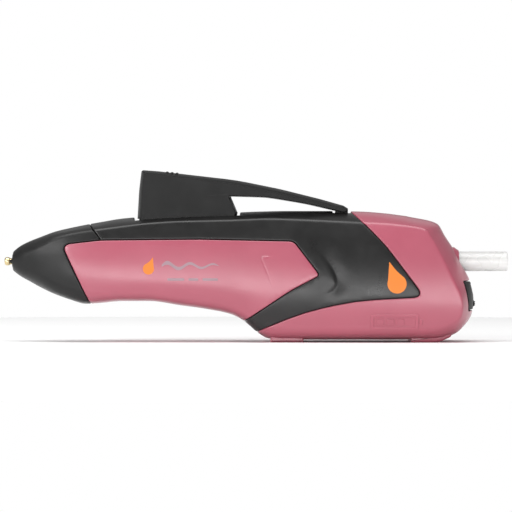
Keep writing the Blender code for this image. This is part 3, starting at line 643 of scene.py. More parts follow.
def joined_halves(name, look, regions, node, fillet=FILLET, spacing=1.6):
    """A one-piece part over both sides, joined on the centre plane."""
    verts, faces, normals = [], [], []
    for side, region in zip((-1, 1), regions):
        v, f, n = shell_half(region, side, fillet, SHELL, spacing)
        start = sum(len(part) for part in verts)
        verts.append(v)
        normals.append(n)
        faces += [tuple(k + start for k in face) for face in f]
    verts, normals = np.vstack(verts), np.vstack(normals)
    key = np.round(verts, 3)
    _, first, index = np.unique(key, axis=0, return_index=True, return_inverse=True)
    index = index.reshape(-1)
    verts = verts[first]
    summed = np.zeros_like(verts)
    np.add.at(summed, index, normals)
    on_plane = np.abs(verts[:, 1]) < 1e-6
    summed[on_plane, 1] = 0.0
    size = np.linalg.norm(summed, axis=1)
    summed = np.where((size > 0.5)[:, None], summed / np.maximum(1e-9, size)[:, None], 0.0)
    faces = [tuple(index[k] for k in face) for face in faces]
    faces = [face for face in faces if len(set(face)) == len(face)]
    add_casing(name, verts, faces, look, summed, node)


# ---- lofted and turned pieces ----

def finish_item(item, look, body, nodes=(), sharp=40.0):
    """Shades an object in metres and lets it ride on a body and stand for CAD nodes."""
    if item.name not in bpy.context.scene.collection.objects:
        bpy.context.scene.collection.objects.link(item)
    item.data.materials.clear()
    item.data.materials.append(look)
    item.data.shade_smooth()
    item.data.set_sharp_from_angle(angle=radians(sharp))
    item.modifiers.new("even_normals", "WEIGHTED_NORMAL").keep_sharp = True
    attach(item, body)
    if nodes:
        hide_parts(*nodes)
    return item


def add_item(name, shape, look, body, nodes=(), sharp=40.0):
    """The same for a bmesh in millimetres."""
    mesh = bpy.data.meshes.new(name)
    bmesh.ops.recalc_face_normals(shape, faces=shape.faces)
    shape.to_mesh(mesh)
    shape.free()
    mesh.transform(Matrix.Scale(MM, 4))
    return finish_item(bpy.data.objects.new(name, mesh), look, body, nodes, sharp)


def add_solid(name, solid, look, body, nodes=(), sharp=40.0):
    """The same for an object in millimetres, as plain_object() makes it."""
    solid.data.transform(Matrix.Scale(MM, 4))
    solid.name = name
    return finish_item(solid, look, body, nodes, sharp)


def loft(outline, rows, lean=None, axis="y"):
    """A closed bmesh through copies of an outline: rows of (place, share of the lean, inset)."""
    lean = np.zeros_like(outline) if lean is None else lean
    shape = bmesh.new()
    rings = []
    for place, share, inset in rows:
        ring = inwards(outline, inset) + lean * share
        spots = [(p[0], place, p[1]) if axis == "y" else (p[0], p[1], place) for p in ring]
        rings.append([shape.verts.new(spot) for spot in spots])
    for here, after in zip(rings, rings[1:]):
        for k in range(len(here)):
            n = (k + 1) % len(here)
            shape.faces.new((here[k], here[n], after[n], after[k]))
    caps = [shape.faces.new(rings[0]), shape.faces.new(rings[-1][::-1])]
    shape.normal_update()
    bmesh.ops.triangulate(shape, faces=caps)
    return shape


def round_rows(low, high, radius, steps=4):
    """Loft rows of a slab with rounded edges."""
    angles = [pi / 2 * k / steps for k in range(steps + 1)]
    start = [(low + radius * (1 - cos(a)), 0.0, radius * (1 - sin(a))) for a in angles]
    end = [(high - radius * (1 - cos(a)), 0.0, radius * (1 - sin(a))) for a in angles[::-1]]
    return start + end


def lathe(profile, centre=(0.0, AXIS_Z), sides=72, axis="x"):
    """A closed profile of (along, radius) points turned about an axis through the centre."""
    shape = bmesh.new()
    rings = []
    for along, radius in profile:
        count = 1 if radius < 1e-6 else sides
        ring = []
        for k in range(count):
            a, b = radius * sin(2 * pi * k / sides), radius * cos(2 * pi * k / sides)
            a, b = centre[0] + a, centre[1] + b
            ring.append(shape.verts.new((along, a, b) if axis == "x" else (a, along, b)))
        rings.append(ring)
    closed = profile[0][1] > 1e-6
    for here, after in zip(rings, rings[1:] + (rings[:1] if closed else [])):
        for k in range(sides):
            corners = [here[k % len(here)], here[(k + 1) % len(here)],
                       after[(k + 1) % len(after)], after[k % len(after)]]
            corners = list(dict.fromkeys(corners))
            if len(corners) > 2:
                shape.faces.new(corners)
    return shape


def smooth_profile(points, steps=5):
    """A Catmull-Rom curve through (along, radius) points."""
    points = [np.array(p, float) for p in (points[0], *points, points[-1])]
    out = []
    for a, b, c, d in zip(points, points[1:], points[2:], points[3:]):
        for k in range(steps):
            t = k / steps
            spot = 0.5 * (2 * b + (c - a) * t + (2 * a - 5 * b + 4 * c - d) * t ** 2
                          + (3 * b - a - 3 * c + d) * t ** 3)
            out.append((spot[0], max(0.0, spot[1])))
    out.append(tuple(points[-1]))
    return out


def plain_object(shape):
    """A bmesh as an unscaled object for a Boolean."""
    mesh = bpy.data.meshes.new("part")
    bmesh.ops.triangulate(shape, faces=shape.faces)
    shape.normal_update()
    bmesh.ops.recalc_face_normals(shape, faces=shape.faces)
    if shape.calc_volume(signed=True) < 0:
        bmesh.ops.reverse_faces(shape, faces=shape.faces)
    shape.to_mesh(mesh)
    shape.free()
    item = bpy.data.objects.new("part", mesh)
    bpy.context.scene.collection.objects.link(item)
    return item


def combine(target, other, operation="DIFFERENCE"):
    """A Boolean applied at once, after which the other object is removed."""
    step = target.modifiers.new(operation, "BOOLEAN")
    step.operation = operation
    step.solver = "EXACT"
    step.object = other
    result = bpy.data.meshes.new_from_object(target.evaluated_get(bpy.context.evaluated_depsgraph_get()))
    target.modifiers.remove(step)
    target.data = result
    bpy.data.objects.remove(other, do_unlink=True)


def slab(outline, low, high, axis="y"):
    """A plain plate between two places, as an unscaled object."""
    return plain_object(loft(np.array(outline, float), [(low, 0, 0), (high, 0, 0)], axis=axis))


def rectangle(x0, z0, x1, z1, radius=0.0):
    """A rectangle's outline with rounded corners."""
    return rounded(((x0, z0, radius), (x1, z0, radius), (x1, z1, radius), (x0, z1, radius)))


# ---- materials ----

def new_material(name):
    made = bpy.data.materials.new(name)
    made.use_nodes = True
    tree = made.node_tree
    return made, tree, tree.nodes["Principled BSDF"]


def ramp(tree, source, low, high, start=0.0, end=1.0):
    """A colour or grey ramp between two values over a source's range."""
    made = tree.nodes.new("ShaderNodeValToRGB")
    made.color_ramp.elements[0].position = start
    made.color_ramp.elements[1].position = end
    for element, value in zip(made.color_ramp.elements, (low, high)):
        value = (value, value, value) if isinstance(value, float) else value
        element.color = (*value, 1.0)
    tree.links.new(source, made.inputs["Fac"])
    return made.outputs["Color"]


def noise_of(tree, scale, detail=3.0, stretch=(1, 1, 1), roughness=0.5):
    """Noise in the object's own metres."""
    place = tree.nodes.new("ShaderNodeTexCoord")
    mapping = tree.nodes.new("ShaderNodeMapping")
    mapping.inputs["Scale"].default_value = stretch
    tree.links.new(place.outputs["Object"], mapping.inputs["Vector"])
    made = tree.nodes.new("ShaderNodeTexNoise")
    made.inputs["Scale"].default_value = scale
    made.inputs["Detail"].default_value = detail
    made.inputs["Roughness"].default_value = roughness
    tree.links.new(mapping.outputs["Vector"], made.inputs["Vector"])
    return made.outputs["Fac"]


def mixed(tree, factor, a, b, mode="MIX"):
    made = tree.nodes.new("ShaderNodeMix")
    made.data_type = "RGBA"
    made.blend_type = mode
    for socket, value in ((made.inputs[0], factor), (made.inputs[6], a), (made.inputs[7], b)):
        if isinstance(value, bpy.types.NodeSocket):
            tree.links.new(value, socket)
        elif isinstance(value, tuple):
            socket.default_value = (*value, 1.0)
        else:
            socket.default_value = value
    return made.outputs[2]


def worn_edges(tree):
    """High on convex edges, broken up by noise."""
    geometry = tree.nodes.new("ShaderNodeNewGeometry")
    edge = ramp(tree, geometry.outputs["Pointiness"], 0.0, 1.0, 0.53, 0.6)
    patch = ramp(tree, noise_of(tree, 260.0, 4.0), 0.0, 1.0, 0.45, 0.62)
    return mixed(tree, 1.0, edge, patch, "MULTIPLY")


def bump(tree, shader, height, strength, distance):
    made = tree.nodes.new("ShaderNodeBump")
    made.inputs["Strength"].default_value = strength
    made.inputs["Distance"].default_value = distance * MM
    tree.links.new(height, made.inputs["Height"])
    tree.links.new(made.outputs["Normal"], shader.inputs["Normal"])


def moulded(name, color, roughness, vary=0.06, grain=0.02, grain_scale=1800.0, coat=0.0, coat_roughness=0.2,
            worn=1.35, specular=0.5):
    """Moulded plastic: slight colour drift, fine grain, uneven gloss and paler worn edges."""
    made, tree, shader = new_material(name)
    drift = noise_of(tree, 45.0, 3.0)
    dark = tuple(c * (1 - vary) for c in color)
    light = tuple(min(1.0, c * (1 + vary)) for c in color)
    base = ramp(tree, drift, dark, light, 0.35, 0.65)
    paler = tuple(min(1.0, c * worn + 0.004) for c in color)
    tree.links.new(mixed(tree, worn_edges(tree), base, paler), shader.inputs["Base Color"])
    wipes = noise_of(tree, 130.0, 5.0, roughness=0.6)
    gloss = ramp(tree, wipes, roughness - 0.04, roughness + 0.05, 0.35, 0.65)
    tree.links.new(gloss, shader.inputs["Roughness"])
    shader.inputs["Metallic"].default_value = 0.0
    shader.inputs["Coat Weight"].default_value = coat
    shader.inputs["Coat Roughness"].default_value = coat_roughness
    shader.inputs["Specular IOR Level"].default_value = specular
    bump(tree, shader, noise_of(tree, grain_scale, 4.0), 1.0, grain)
    return made


def metal(name, color, roughness, stretch=(1, 1, 1), scale=600.0, tarnish=0.8, grain=0.01):
    """Metal with tool marks drawn out along one axis, and darker patches."""
    made, tree, shader = new_material(name)
    marks = noise_of(tree, scale, 5.0, stretch)
    patches = noise_of(tree, 180.0, 3.0)
    base = ramp(tree, patches, tuple(c * tarnish for c in color), color, 0.35, 0.6)
    shade = ramp(tree, marks, 0.86, 1.0, 0.35, 0.65)
    tree.links.new(mixed(tree, 1.0, base, shade, "MULTIPLY"), shader.inputs["Base Color"])
    tree.links.new(ramp(tree, marks, roughness - 0.06, roughness + 0.1, 0.3, 0.7), shader.inputs["Roughness"])
    shader.inputs["Metallic"].default_value = 1.0
    bump(tree, shader, marks, 1.0, grain)
    return made


def wax(name):
    """A translucent glue stick with faint streaks drawn along it. The lighter streaks in its colour are painted
    highlights, and the same streaks also give a faint bump.
    """
    made, tree, shader = new_material(name)
    streaks_and_painted_highlights = noise_of(tree, 420.0, 3.0, (0.04, 1.0, 1.0))
    clouds = noise_of(tree, 120.0, 2.0)
    # the lighter stripes drawn along the stick in this colour are painted highlights
    base = mixed(tree, 1.0, ramp(tree, streaks_and_painted_highlights, (0.62, 0.62, 0.61), (0.80, 0.80, 0.79), 0.38, 0.62),
                 ramp(tree, clouds, 0.98, 1.0, 0.3, 0.7), "MULTIPLY")
    tree.links.new(base, shader.inputs["Base Color"])
    tree.links.new(ramp(tree, clouds, 0.24, 0.36, 0.3, 0.7), shader.inputs["Roughness"])
    shader.inputs["Subsurface Weight"].default_value = 0.6
    shader.inputs["Subsurface Radius"].default_value = (1.0, 1.0, 0.95)
    shader.inputs["Subsurface Scale"].default_value = 2.0 * MM
    shader.inputs["Transmission Weight"].default_value = 0.12
    shader.inputs["IOR"].default_value = 1.45
    bump(tree, shader, streaks_and_painted_highlights, 1.0, 0.008)
    return made


PINK = moulded("pearl_pink", (0.365, 0.076, 0.115), 0.33, vary=0.03, grain=0.004, grain_scale=2600.0,
               coat=0.6, coat_roughness=0.26, worn=1.15)
RAIL = moulded("rail_black", (0.008, 0.0078, 0.0078), 0.31, vary=0.1, grain=0.008, grain_scale=3000.0,
               worn=1.8)
LEVER = moulded("lever_black", (0.0085, 0.0085, 0.0085), 0.45, vary=0.1, grain=0.008, grain_scale=3000.0,
                worn=1.8, specular=0.2)
NOSE_LOOK = moulded("nose_black", (0.011, 0.011, 0.011), 0.34, vary=0.1, grain=0.008, grain_scale=2800.0,
                    worn=1.6, specular=0.33)
UNDER = moulded("seam_black", (0.012, 0.006, 0.007), 0.6, grain=0.01)
BRASS = metal("turned_brass", (0.86, 0.70, 0.40), 0.24, (6.0, 1.0, 1.0), 900.0, 0.75, 0.006)
STEEL = metal("bright_steel", (0.62, 0.63, 0.65), 0.3, (0.2, 1.0, 1.0), 900.0, 0.8, 0.005)
ALUMINIUM = metal("cast_aluminium", (0.76, 0.77, 0.79), 0.42, (1, 1, 1), 500.0, 0.85, 0.03)
GLUE = wax("glue_wax")
SILICONE = moulded("silicone_red", (0.75, 0.2, 0.12), 0.6, grain=0.02, worn=1.1)
CERAMIC = moulded("ceramic_white", (0.85, 0.84, 0.8), 0.6, vary=0.03, grain=0.02, grain_scale=900.0, worn=1.0)
BOARD = moulded("board_green", (0.03, 0.2, 0.07), 0.35, vary=0.2, grain=0.02, grain_scale=600.0)
CELL = moulded("cell_blue", (0.05, 0.2, 0.45), 0.35, vary=0.04, coat=0.4)
INNER = moulded("inner_grey", (0.2, 0.2, 0.21), 0.55, grain=0.02)
LENS = moulded("lens_clear", (0.8, 0.9, 0.8), 0.12, vary=0.02, grain=0.001, coat=0.3)
WIRE_RED = moulded("wire_red", (0.6, 0.03, 0.03), 0.5)
WIRE_BLACK = moulded("wire_black", (0.02, 0.02, 0.02), 0.5)
ORANGE = moulded("ink_orange", (0.66, 0.18, 0.012), 0.5, vary=0.03, grain=0.002, worn=1.05)
GREY_INK = moulded("ink_grey", (0.30, 0.20, 0.23), 0.45, vary=0.04, grain=0.002, worn=1.05)


# ---- casing ----

def layout_outline(corners):
    return skin.to_layout(respaced(rounded(corners), 0.4))


GRIP_LOOP = layout_outline(GRIP_PANEL)
REAR_LOOP = layout_outline(REAR_COVER)
NOSE_LOOP = layout_outline(NOSE)


def top_opening(front, back, half):
    """A rectangular opening in the top of the housing, in the layout."""
    spots = []
    rim = [(front, y) for y in np.linspace(-1.0, half, 14)] + [(x, half) for x in np.linspace(front, back, 60)]
    rim += [(back, y) for y in np.linspace(half, -1.0, 14)]
    for x, y in rim:
        rib = np.array([np.interp(x, skin.crease[:skin.ALONG, 0], np.arange(skin.ALONG))])
        row, width, length, crease = (skin.at_rib(values, rib)[0]
                                      for values in (skin.t_table, skin.width, skin.length, skin.crease))
        share = np.interp(-abs(y) / width, -row, np.linspace(0.0, 1.0, len(row)))
        if y < 0:
            share = 2.0 - share
        spots.append((x, crease[1] + share * length))
    return np.array(spots)


def belt_shape(points):
    """The belt's raised pad: it steps up past a curved valley and fades out towards the rear cover."""
    valley = np.array(smooth_profile(BELT_VALLEY, 12))
    away, along = line_distance(points, valley)
    fade = np.clip(1 - np.abs(along - 0.62) / 0.5, 0.0, 1.0)
    step = np.clip(0.5 + away / 1.6, 0.0, 1.0)
    step = step * step * (3 - 2 * step)
    near = np.exp(-(np.maximum(0.0, -away) / 3.5) ** 2) * np.exp(-(np.maximum(0.0, away) / 9.0) ** 2)
    fade = fade * fade * (3 - 2 * fade)
    return (step - 0.75) * 0.9 * fade * near


def screw_loops(side):
    return [skin.to_layout(circle(x, z, SCREW_OPENING)) for x, z in SCREWS] if side > 0 else []


GRIP_HOOK = ((5.6, 30.5), (2.6, 30.4), (2.0, 29.6), (4.3, 24.0), (5.9, 19.6))


def grip_shape(points):
    """A faint hooked step near the grip's rear end, which fades out towards its lower end."""
    away, along = line_distance(points, respaced(np.array(GRIP_HOOK), 0.4, closed=False))
    step = np.clip(0.5 - away / 0.9, 0.0, 1.0) - (away < 0)
    fade = np.clip(1.15 - along, 0.0, 1.0) * np.clip(along / 0.12, 0.0, 1.0)
    return -0.22 * np.abs(step) * fade * (np.abs(away) < 2.0)


SLOT = top_opening(-43.6, -5.9, 6.7)
LAND = top_opening(27.7, 33.9, 5.0)
OPENING, PANEL, SWITCH_SLOT, SOCKET = (
    skin.rear_layout(rounded(((-1.6, low, 0.0), (half, low, radius), (half, high, radius), (-1.6, high, 0.0))))
    for half, low, high, radius in ((11.4, 11.3, 21.9, 1.0), (11.2, 11.5, 21.7, 0.9), (2.5, 12.4, 17.2, 0.4),
                                    (4.2, 17.7, 20.6, 1.1)))
LENS_HOLE = skin.rear_layout(circle(7.5, 15.5, 1.35, 24))
STICK_HOLE = skin.rear_layout([(5.45 * sin(a), AXIS_Z - 5.45 * cos(a))
                               for a in np.linspace(-0.25, pi + 0.25, 40)])

for side, word in SIDES:
    holes = screw_loops(side)
    rail = Region(outside=[GRIP_LOOP, REAR_LOOP, NOSE_LOOP, SLOT, LAND] + holes)
    casing(f"rail_and_belt_{word}", RAIL, rail, side, f"housing_{word}", shape=belt_shape, thick=1.6,
           features=(smooth_profile(BELT_VALLEY),))
    casing(f"grip_skin_{word}", PINK, Region([GRIP_LOOP], holes), side, f"grip_panel_{word}", shape=grip_shape,
           features=(GRIP_HOOK,))
    casing(f"tail_skin_{word}", PINK, Region([REAR_LOOP], [OPENING, STICK_HOLE] + holes), side,
           f"rear_cover_{word}")
    casing(f"seat_{word}", UNDER, Region(outside=[SLOT, LAND, OPENING, STICK_HOLE] + holes, split=0.3), side,
           thick=1.75, spacing=3.0, raised=-1.35, fillet=0.1)
joined_halves("nose_shell", NOSE_LOOK, [Region([NOSE_LOOP], merge=True)] * 2, "nose_cone")
joined_halves("rear_panel", LEVER, [Region([PANEL], [SWITCH_SLOT, SOCKET], merge=True),
                                   Region([PANEL], [SWITCH_SLOT, SOCKET, LENS_HOLE], merge=True)],
              "switch_panel", fillet=0.25, spacing=1.2)


def screw_well(index, x, z):
    """The recess in the right shell that a screw's head sits in."""
    top = float(side_width(np.array([x]), np.array([z]))[0]) - 1.2
    profile = ((5.4, 1.3), (6.1, 1.3), (6.1, 2.95), (top, 2.95), (top, 3.7), (5.4, 3.7))
    add_item(f"screw_well_{index}", lathe(profile, (x, z), 40, "y"), UNDER, "body")


def foot(name, profile, side):
    """Half of a shallow foot under the body, from its side profile."""
    rows = [(0.12, 0, 0), (8.0, 0, 0), (8.5, 0, 0.1), (8.85, 0, 0.3), (9.0, 0, 0.6)]
    rows = [(side * y, share, inset) for y, share, inset in rows]
    add_item(name, loft(rounded(profile), rows), PINK, "body")


FRONT_FOOT = ((5.1, 2.6, 0.0), (5.1, 0.0, 0.4), (17.0, 0.0, 0.4), (17.0, 2.6, 0.0))
REAR_FOOT = ((55.2, 2.6, 0.0), (55.2, 0.0, 0.5), (65.4, 0.0, 6.0), (69.6, 1.9, 3.0), (70.2, 3.6, 0.0))

for number, (x, z) in enumerate(SCREWS, 1):
    screw_well(number, x, z)
for side, word in SIDES:
    foot(f"front_foot_{word}", FRONT_FOOT, side)
    foot(f"rear_foot_{word}", REAR_FOOT, side)


def lever_seat():
    """The recessed land in the rail under the lever's hinged end."""
    seat = plain_object(loft(rectangle(26.8, -6.0, 34.8, 6.0, 0.6), round_rows(43.0, 45.2, 0.2), axis="z"))
    combine(seat, slab(rectangle(27.2, -3.6, 34.0, 3.6, 0.4), 40.0, 50.0, "z"))
    add_solid("lever_seat", seat, RAIL, "body")


lever_seat()

# ---- lever ----

def cam_slot():
    """The cam pin's path in the lever's own frame, as a band."""
    path = []
    for k in range(8):
        turn = LEVER_STROKE * (1.36 * k / 7 - 0.18)
        dx = CAM_PIN_X - FEED_PER_RADIAN * turn - LEVER_PIVOT[0]
        dz = AXIS_Z - LEVER_PIVOT[1]
        path.append((LEVER_PIVOT[0] + dx * cos(turn) + dz * sin(turn),
                     LEVER_PIVOT[1] - dx * sin(turn) + dz * cos(turn)))
    path = np.array(path)
    run = np.gradient(path, axis=0)
    across = np.column_stack((-run[:, 1], run[:, 0])) / np.linalg.norm(run, axis=1)[:, None]
    side = across * (CAM_PIN_R + 0.25)
    return np.vstack((path + side, (path - side)[::-1]))


def lever_lean(outline):
    """How far each outline point leans in at the lever's sides: a crowned top and chamfered end walls."""
    lean = np.zeros_like(outline)
    for k, (x, z) in enumerate(outline):
        drop = np.interp(x, (-41.5, -35.0, 5.0, 25.0, 32.0), (0.85, 1.0, 1.7, 1.5, 0.2))
        roof = np.interp(x, (-41.0, -35.0, -7.1, 8.7, 23.1, 31.4), (61.6, 61.3, 58.1, 54.9, 51.3, 48.95))
        over = np.clip(1 - (roof - z) / 1.6, 0.0, 1.0)
        lean[k, 1] -= drop * over
        lean[k, 0] += 1.35 * np.clip((-36.0 - x) / 5.2, 0.0, 1.0)
        lean[k, 0] -= 0.75 * np.clip(1 - (abs(x + 7.9) - 1.4) / 3.5, 0.0, 1.0) * np.clip(53.6 - z, 0.0, 1.0)
    return lean


def lever_beam():
    w = LEVER_HALF_WIDTH
    outline = respaced(rounded(LEVER_OUTLINE), 1.2)
    half = [(w * t, t ** 2, 0.0) for t in (0.0, 0.25, 0.5, 0.7, 0.85)]
    for a in (0.0, 0.3, 0.6, 0.9, 1.2, pi / 2):
        half.append((w - 0.35 + 0.35 * sin(a), 1.0, 0.35 * (1 - cos(a))))
    rows = [(-y, share, inset) for y, share, inset in half[:0:-1]] + half
    beam = plain_object(loft(outline, rows, lever_lean(outline)))
    combine(beam, slab(rounded(CHEEK_OUTLINE), -w + 0.05, w - 0.05), "UNION")
    combine(beam, slab(LEVER_HOLLOW, -CHEEK_INNER, CHEEK_INNER))
    combine(beam, slab(cam_slot(), -9.0, 9.0))
    lug = loft(rectangle(28.5, 42.4, 33.0, 48.0, 0.8), round_rows(-3.25, 3.25, 0.3))
    combine(beam, plain_object(lug), "UNION")
    combine(beam, slab(circle(*LEVER_PIVOT, 1.08, 32), -9.0, 9.0))
    add_solid("lever_beam", beam, LEVER, "lever", ("feed_lever",), sharp=28.0)


def lever_ribs():
    """Three low ribs across the lever's top for the finger."""
    for k in range(3):
        x = -31.9 + 1.75 * k
        roof = 61.3 - (x + 35.0) * 0.115
        outline = np.array([(x + 0.55 * cos(a), roof - 0.12 + 0.42 * sin(a))
                            for a in np.linspace(0, 2 * pi, 20, endpoint=False)])
        rows = [(y, share, 0.0) for y, share in zip(np.linspace(-4.4, 4.4, 9), np.linspace(-1, 1, 9) ** 2)]
        rows = [(-4.6, 1.0, 0.25)] + rows + [(4.6, 1.0, 0.25)]
        lean = np.tile((0.0, -0.45), (len(outline), 1))
        add_item(f"lever_rib_{k + 1}", loft(outline, rows, lean), LEVER, "lever", sharp=60.0)


def lever_ledge(side, word):
    """A slender ledge on the lever's flank, level with the window's top."""
    outline = rounded(((-18.3, 52.32, 0.0), (-10.4, 52.55, 0.0), (-9.9, 52.75, 0.1), (-10.4, 52.95, 0.0),
                       (-14.0, 52.75, 0.0)))
    y0, y1 = sorted((side * (LEVER_HALF_WIDTH - 0.2), side * (LEVER_HALF_WIDTH + 0.1)))
    add_item(f"lever_ledge_{word}", loft(outline, [(y0, 0, 0), (y1, 0, 0)]), LEVER, "lever")


lever_beam()
lever_ribs()
for side, word in SIDES:
    lever_ledge(side, word)

# ---- nozzle, glue stick, collar and switch ----

NOZZLE = smooth_profile(((-90.45, 0.62), (-90.42, 1.0), (-90.05, 1.4), (-89.4, 1.52), (-88.75, 1.36),
                         (-88.35, 1.16), (-87.9, 1.12), (-87.4, 1.2), (-86.9, 1.55), (-86.4, 1.65)))
NOZZLE += [(-82.5, 1.7), (-79.0, 3.3), (-75.5, 3.9), (-75.5, 5.0), (-72.6, 5.0), (-72.6, 1.8), (-84.0, 0.8),
           (-86.5, 0.45), (-90.3, 0.45)]
add_item("nozzle_tip", lathe(NOZZLE, sides=64), BRASS, "body", ("nozzle",))


def stick():
    """The glue stick, with a slightly uneven surface and a cut end."""
    along = np.linspace(-64.6, 89.9, 90)
    profile = [(-65.0, 0.0), (-65.0, 3.3)] + [(x, STICK_R) for x in along]
    profile += [(90.2, 3.5), (90.4, 3.34), (90.45, 3.1), (90.4, 1.6), (90.36, 0.0)]
    shape = lathe(profile, sides=64)
    for vert in shape.verts:
        offset_y, offset_z = vert.co.y, vert.co.z - AXIS_Z
        around = np.arctan2(offset_z, offset_y)
        wave = 0.018 * sin(vert.co.x * 0.9) + 0.014 * sin(vert.co.x * 2.3 + 3 * around)
        vert.co.y += offset_y / STICK_R * (wave - 0.02)
        vert.co.z += offset_z / STICK_R * (wave - 0.02)
    add_item("stick_of_glue", shape, GLUE, "stick", ("glue_stick",))


stick()
COLLAR = [(70.2, 3.95)] + smooth_profile(((70.2, 5.1), (70.9, 5.15), (71.5, 4.95), (72.2, 4.4), (72.75, 4.08),
                                          (72.85, 3.95)))
add_item("inlet_ring", lathe(COLLAR, sides=72), PINK, "body", ("stick_collar",))


def switch_knob():
    """The slider, with three ridges across its thumb face."""
    face = [(76.7, 12.7), (78.2, 12.7)]
    for k in range(3):
        z = 12.95 + 0.62 * k
        face += [(78.4, z), (78.75, z + 0.14), (78.75, z + 0.3), (78.4, z + 0.45)]
    face += [(78.2, 14.9), (76.7, 14.9)]
    knob = plain_object(loft(np.array(face), round_rows(-2.2, 2.2, 0.22, 3)))
    combine(knob, slab(rectangle(73.0, 12.9, 77.2, 14.7), -1.1, 1.1), "UNION")
    add_solid("switch_knob", knob, LEVER, "switch", ("switch_slider",))


switch_knob()


def return_coil(front=-37.4, back=-29.3, radius=4.35, wire=0.3, turns=4.5, steps=30, sides=10):
    """The coil spring between the inlet sleeve and the carriage, built at one length."""
    count = int(turns * steps)
    shape = bmesh.new()
    rings = []
    for k in range(count + 1):
        part, turn = k / count, 2 * pi * turns * k / count
        middle = front + wire + (back - front - 2 * wire) * part
        ring = []
        for n in range(sides):
            around = 2 * pi * n / sides
            out = radius + wire * cos(around)
            spot = (middle + wire * sin(around), out * cos(turn), AXIS_Z + out * sin(turn))
            ring.append(shape.verts.new(spot))
        rings.append(ring)
    for here, after in zip(rings, rings[1:]):
        for k in range(sides):
            n = (k + 1) % sides
            shape.faces.new((here[k], here[n], after[n], after[k]))
    shape.faces.new(rings[0])
    shape.faces.new(rings[-1][::-1])
    bmesh.ops.recalc_face_normals(shape, faces=shape.faces)
    coil = add_item("return_coil", shape, STEEL, "body", ("return_spring",), sharp=60.0)
    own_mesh(coil)


return_coil()

# ---- printed and raised marks: generic pictograms ----

def mark(name, look, outline, holes=(), raised=0.06, side=-1, fillet=0.04):
    """A thin patch on the skin. Outlines are in the side view."""
    loops = [skin.to_layout(respaced(loop, 0.3)) for loop in (outline, *holes)]
    casing(name, look, Region([loops[0]], loops[1:], gap=0.0), side, fillet=fillet, thick=0.3, spacing=0.9,
           raised=raised)


def drop_outline(x, z, radius, tip_x, tip_z):
    """A drop: most of a circle, drawn out to a point."""
    tip = np.array((tip_x, tip_z))
    lean = np.arctan2(tip_z - z, tip_x - x)
    angles = lean + np.linspace(0.9, 2 * pi - 0.9, 40)
    arc = np.array([(x + radius * cos(a), z + radius * sin(a)) for a in angles])
    sag = np.array((0.0, -0.35))
    start = [arc[-1] + (tip - arc[-1]) * t + sag * sin(pi * t) for t in np.linspace(0.1, 1, 12)]
    end = [tip + (arc[0] - tip) * t + sag * sin(pi * t) for t in np.linspace(0.1, 0.9, 11)]
    return np.vstack((arc, start, end))


def bead_outline():
    """A wavy bead of glue that tapers to its end."""
    xs = np.linspace(-33.5, -13.2, 70)
    part = (xs - xs[0]) / (xs[-1] - xs[0])
    middle = 27.3 + 1.15 * np.sin(part * 5 * pi) * (1 - 0.5 * part)
    half = 0.75 * (1 - 0.65 * part) * np.minimum(1.0, 6 * part + 0.5) * np.minimum(1.0, 12 * (1 - part) + 0.3)
    return np.vstack((np.column_stack((xs, middle + half)), np.column_stack((xs, middle - half))[::-1]))


mark("belt_drop", ORANGE, drop_outline(49.9, 20.9, 3.4, 47.2, 28.8))
mark("grip_drop", ORANGE, drop_outline(-38.2, 26.2, 2.0, -36.6, 30.4))
mark("grip_bead", GREY_INK, bead_outline())
for number, (x0, x1) in enumerate(((-31.5, -25.5), (-24.0, -20.5), (-19.0, -13.5)), 1):
    mark(f"grip_dash_{number}", GREY_INK, rectangle(x0, 22.0, x1, 22.9, 0.4))
for side, word in SIDES:
    mark(f"battery_frame_{word}", PINK, rectangle(40.6, 4.6, 57.6, 10.2, 1.2),
         [rectangle(41.7, 5.7, 56.5, 9.1, 0.5)], raised=0.24, side=side, fillet=0.2)
    mark(f"battery_pole_{word}", PINK, rectangle(58.0, 6.3, 59.1, 8.5, 0.3), raised=0.24, side=side, fillet=0.2)
    for number in range(3):
        x = 42.7 + 3.6 * number
        mark(f"battery_bar_{number + 1}_{word}", PINK, rectangle(x, 6.4, x + 2.6, 8.4, 0.3), raised=0.24,
             side=side, fillet=0.2)

# ---- the CAD nodes that stay ----

INSIDE_LOOKS = {
    "aluminium": ALUMINIUM, "steel": STEEL, "silicone": SILICONE, "heater_white": CERAMIC, "board_green": BOARD,
    "cell_sleeve": CELL, "inner_plastic": INNER, "lens": LENS, "wire_red": WIRE_RED, "wire_black": WIRE_BLACK,
    "brass": BRASS, "lever_black": LEVER, "panel_pink": PINK, "glue": GLUE, "housing_black": RAIL,
    "nose_black": NOSE_LOOK,
}


def dress_nodes():
    slots = {part["node"]: part["material_slot"] for part in frame["record"]["subparts"]}
    for name, item in frame["nodes"].items():
        for holder in item.material_slots:
            holder.material = INSIDE_LOOKS[slots[name]]


dress_nodes()

# ---- stage ----

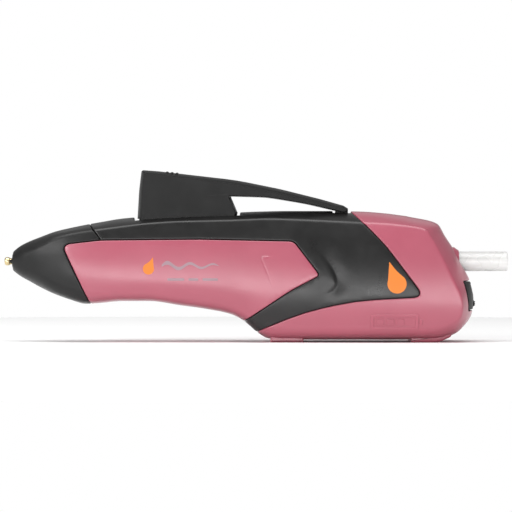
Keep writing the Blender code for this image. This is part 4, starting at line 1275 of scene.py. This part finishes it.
def studio_world():
    """A dim sky with a white ring round the horizon, and white below it."""
    world = bpy.data.worlds.new("studio")
    bpy.context.scene.world = world
    world.use_nodes = True
    tree = world.node_tree
    place = tree.nodes.new("ShaderNodeTexCoord")
    parts = tree.nodes.new("ShaderNodeSeparateXYZ")
    height = tree.nodes.new("ShaderNodeMapRange")
    height.inputs["From Min"].default_value = -1.0
    tone = tree.nodes.new("ShaderNodeValToRGB")
    stops = tone.color_ramp.elements
    stops[0].position, stops[1].position = SKY[0][0], SKY[-1][0]
    for height_share, _ in SKY[1:-1]:
        stops.new(height_share)
    for stop, (_, grey) in zip(stops, SKY):
        stop.color = (grey, grey, grey, 1.0)
    tree.links.new(place.outputs["Generated"], parts.inputs["Vector"])
    tree.links.new(parts.outputs["Z"], height.inputs["Value"])
    tree.links.new(height.outputs["Result"], tone.inputs["Fac"])
    tree.links.new(tone.outputs["Color"], tree.nodes["Background"].inputs["Color"])


SKY = ((0.001, 1.0), (0.555, 1.0), (0.59, 0.3), (0.8, 0.27), (0.999, 0.4))   # height from straight down, grey
LAMPS = (  # name, place, aim, width and height, power
    ("key", (-0.1, -0.25, 1.1), (0.0, 0.0, 0.02), (1.3, 0.8), 11.0),
    ("front_strip", (0.0, -1.15, 0.04), (0.0, 0.0, 0.02), (1.8, 0.15), 6.0),
    ("left", (-0.75, -0.75, 0.5), (-0.05, 0.0, 0.03), (0.5, 0.4), 4.5),
    ("rim", (0.1, 0.85, 0.6), (0.0, 0.0, 0.03), (1.0, 0.35), 0.35),
)


def stage_and_lights():
    disc = bmesh.new()
    bmesh.ops.create_circle(disc, cap_ends=True, segments=128, radius=0.42)
    mesh = bpy.data.meshes.new("floor")
    disc.to_mesh(mesh)
    disc.free()
    floor = bpy.data.objects.new("floor", mesh)
    bpy.context.scene.collection.objects.link(floor)
    look, tree, shader = new_material("floor_pale")
    shader.inputs["Roughness"].default_value = 0.9
    shader.inputs["Specular IOR Level"].default_value = 0.1
    tone = ramp(tree, noise_of(tree, 8.0, 2.0), (0.98, 0.98, 0.98), (1.0, 1.0, 1.0))
    tree.links.new(tone, shader.inputs["Base Color"])
    mesh.materials.append(look)
    studio_world()
    for name, place, aim, size, power in LAMPS:
        data = bpy.data.lights.new(name, "AREA")
        data.shape = "RECTANGLE"
        data.size, data.size_y = size
        data.energy = power
        lamp = bpy.data.objects.new(name, data)
        lamp.location = place
        lamp.rotation_euler = (Vector(aim) - Vector(place)).to_track_quat("-Z", "Y").to_euler()
        bpy.context.scene.collection.objects.link(lamp)


def camera():
    data = bpy.data.cameras.new("camera")
    data.lens = 200.0
    data.sensor_width = 36.0
    eye = bpy.data.objects.new("camera", data)
    eye.location = (0.0, -1.024, 0.0308)
    eye.rotation_euler = (radians(90), 0, 0)
    bpy.context.scene.collection.objects.link(eye)
    bpy.context.scene.camera = eye


stage_and_lights()
camera()
bpy.context.scene.view_settings.view_transform = "Standard"
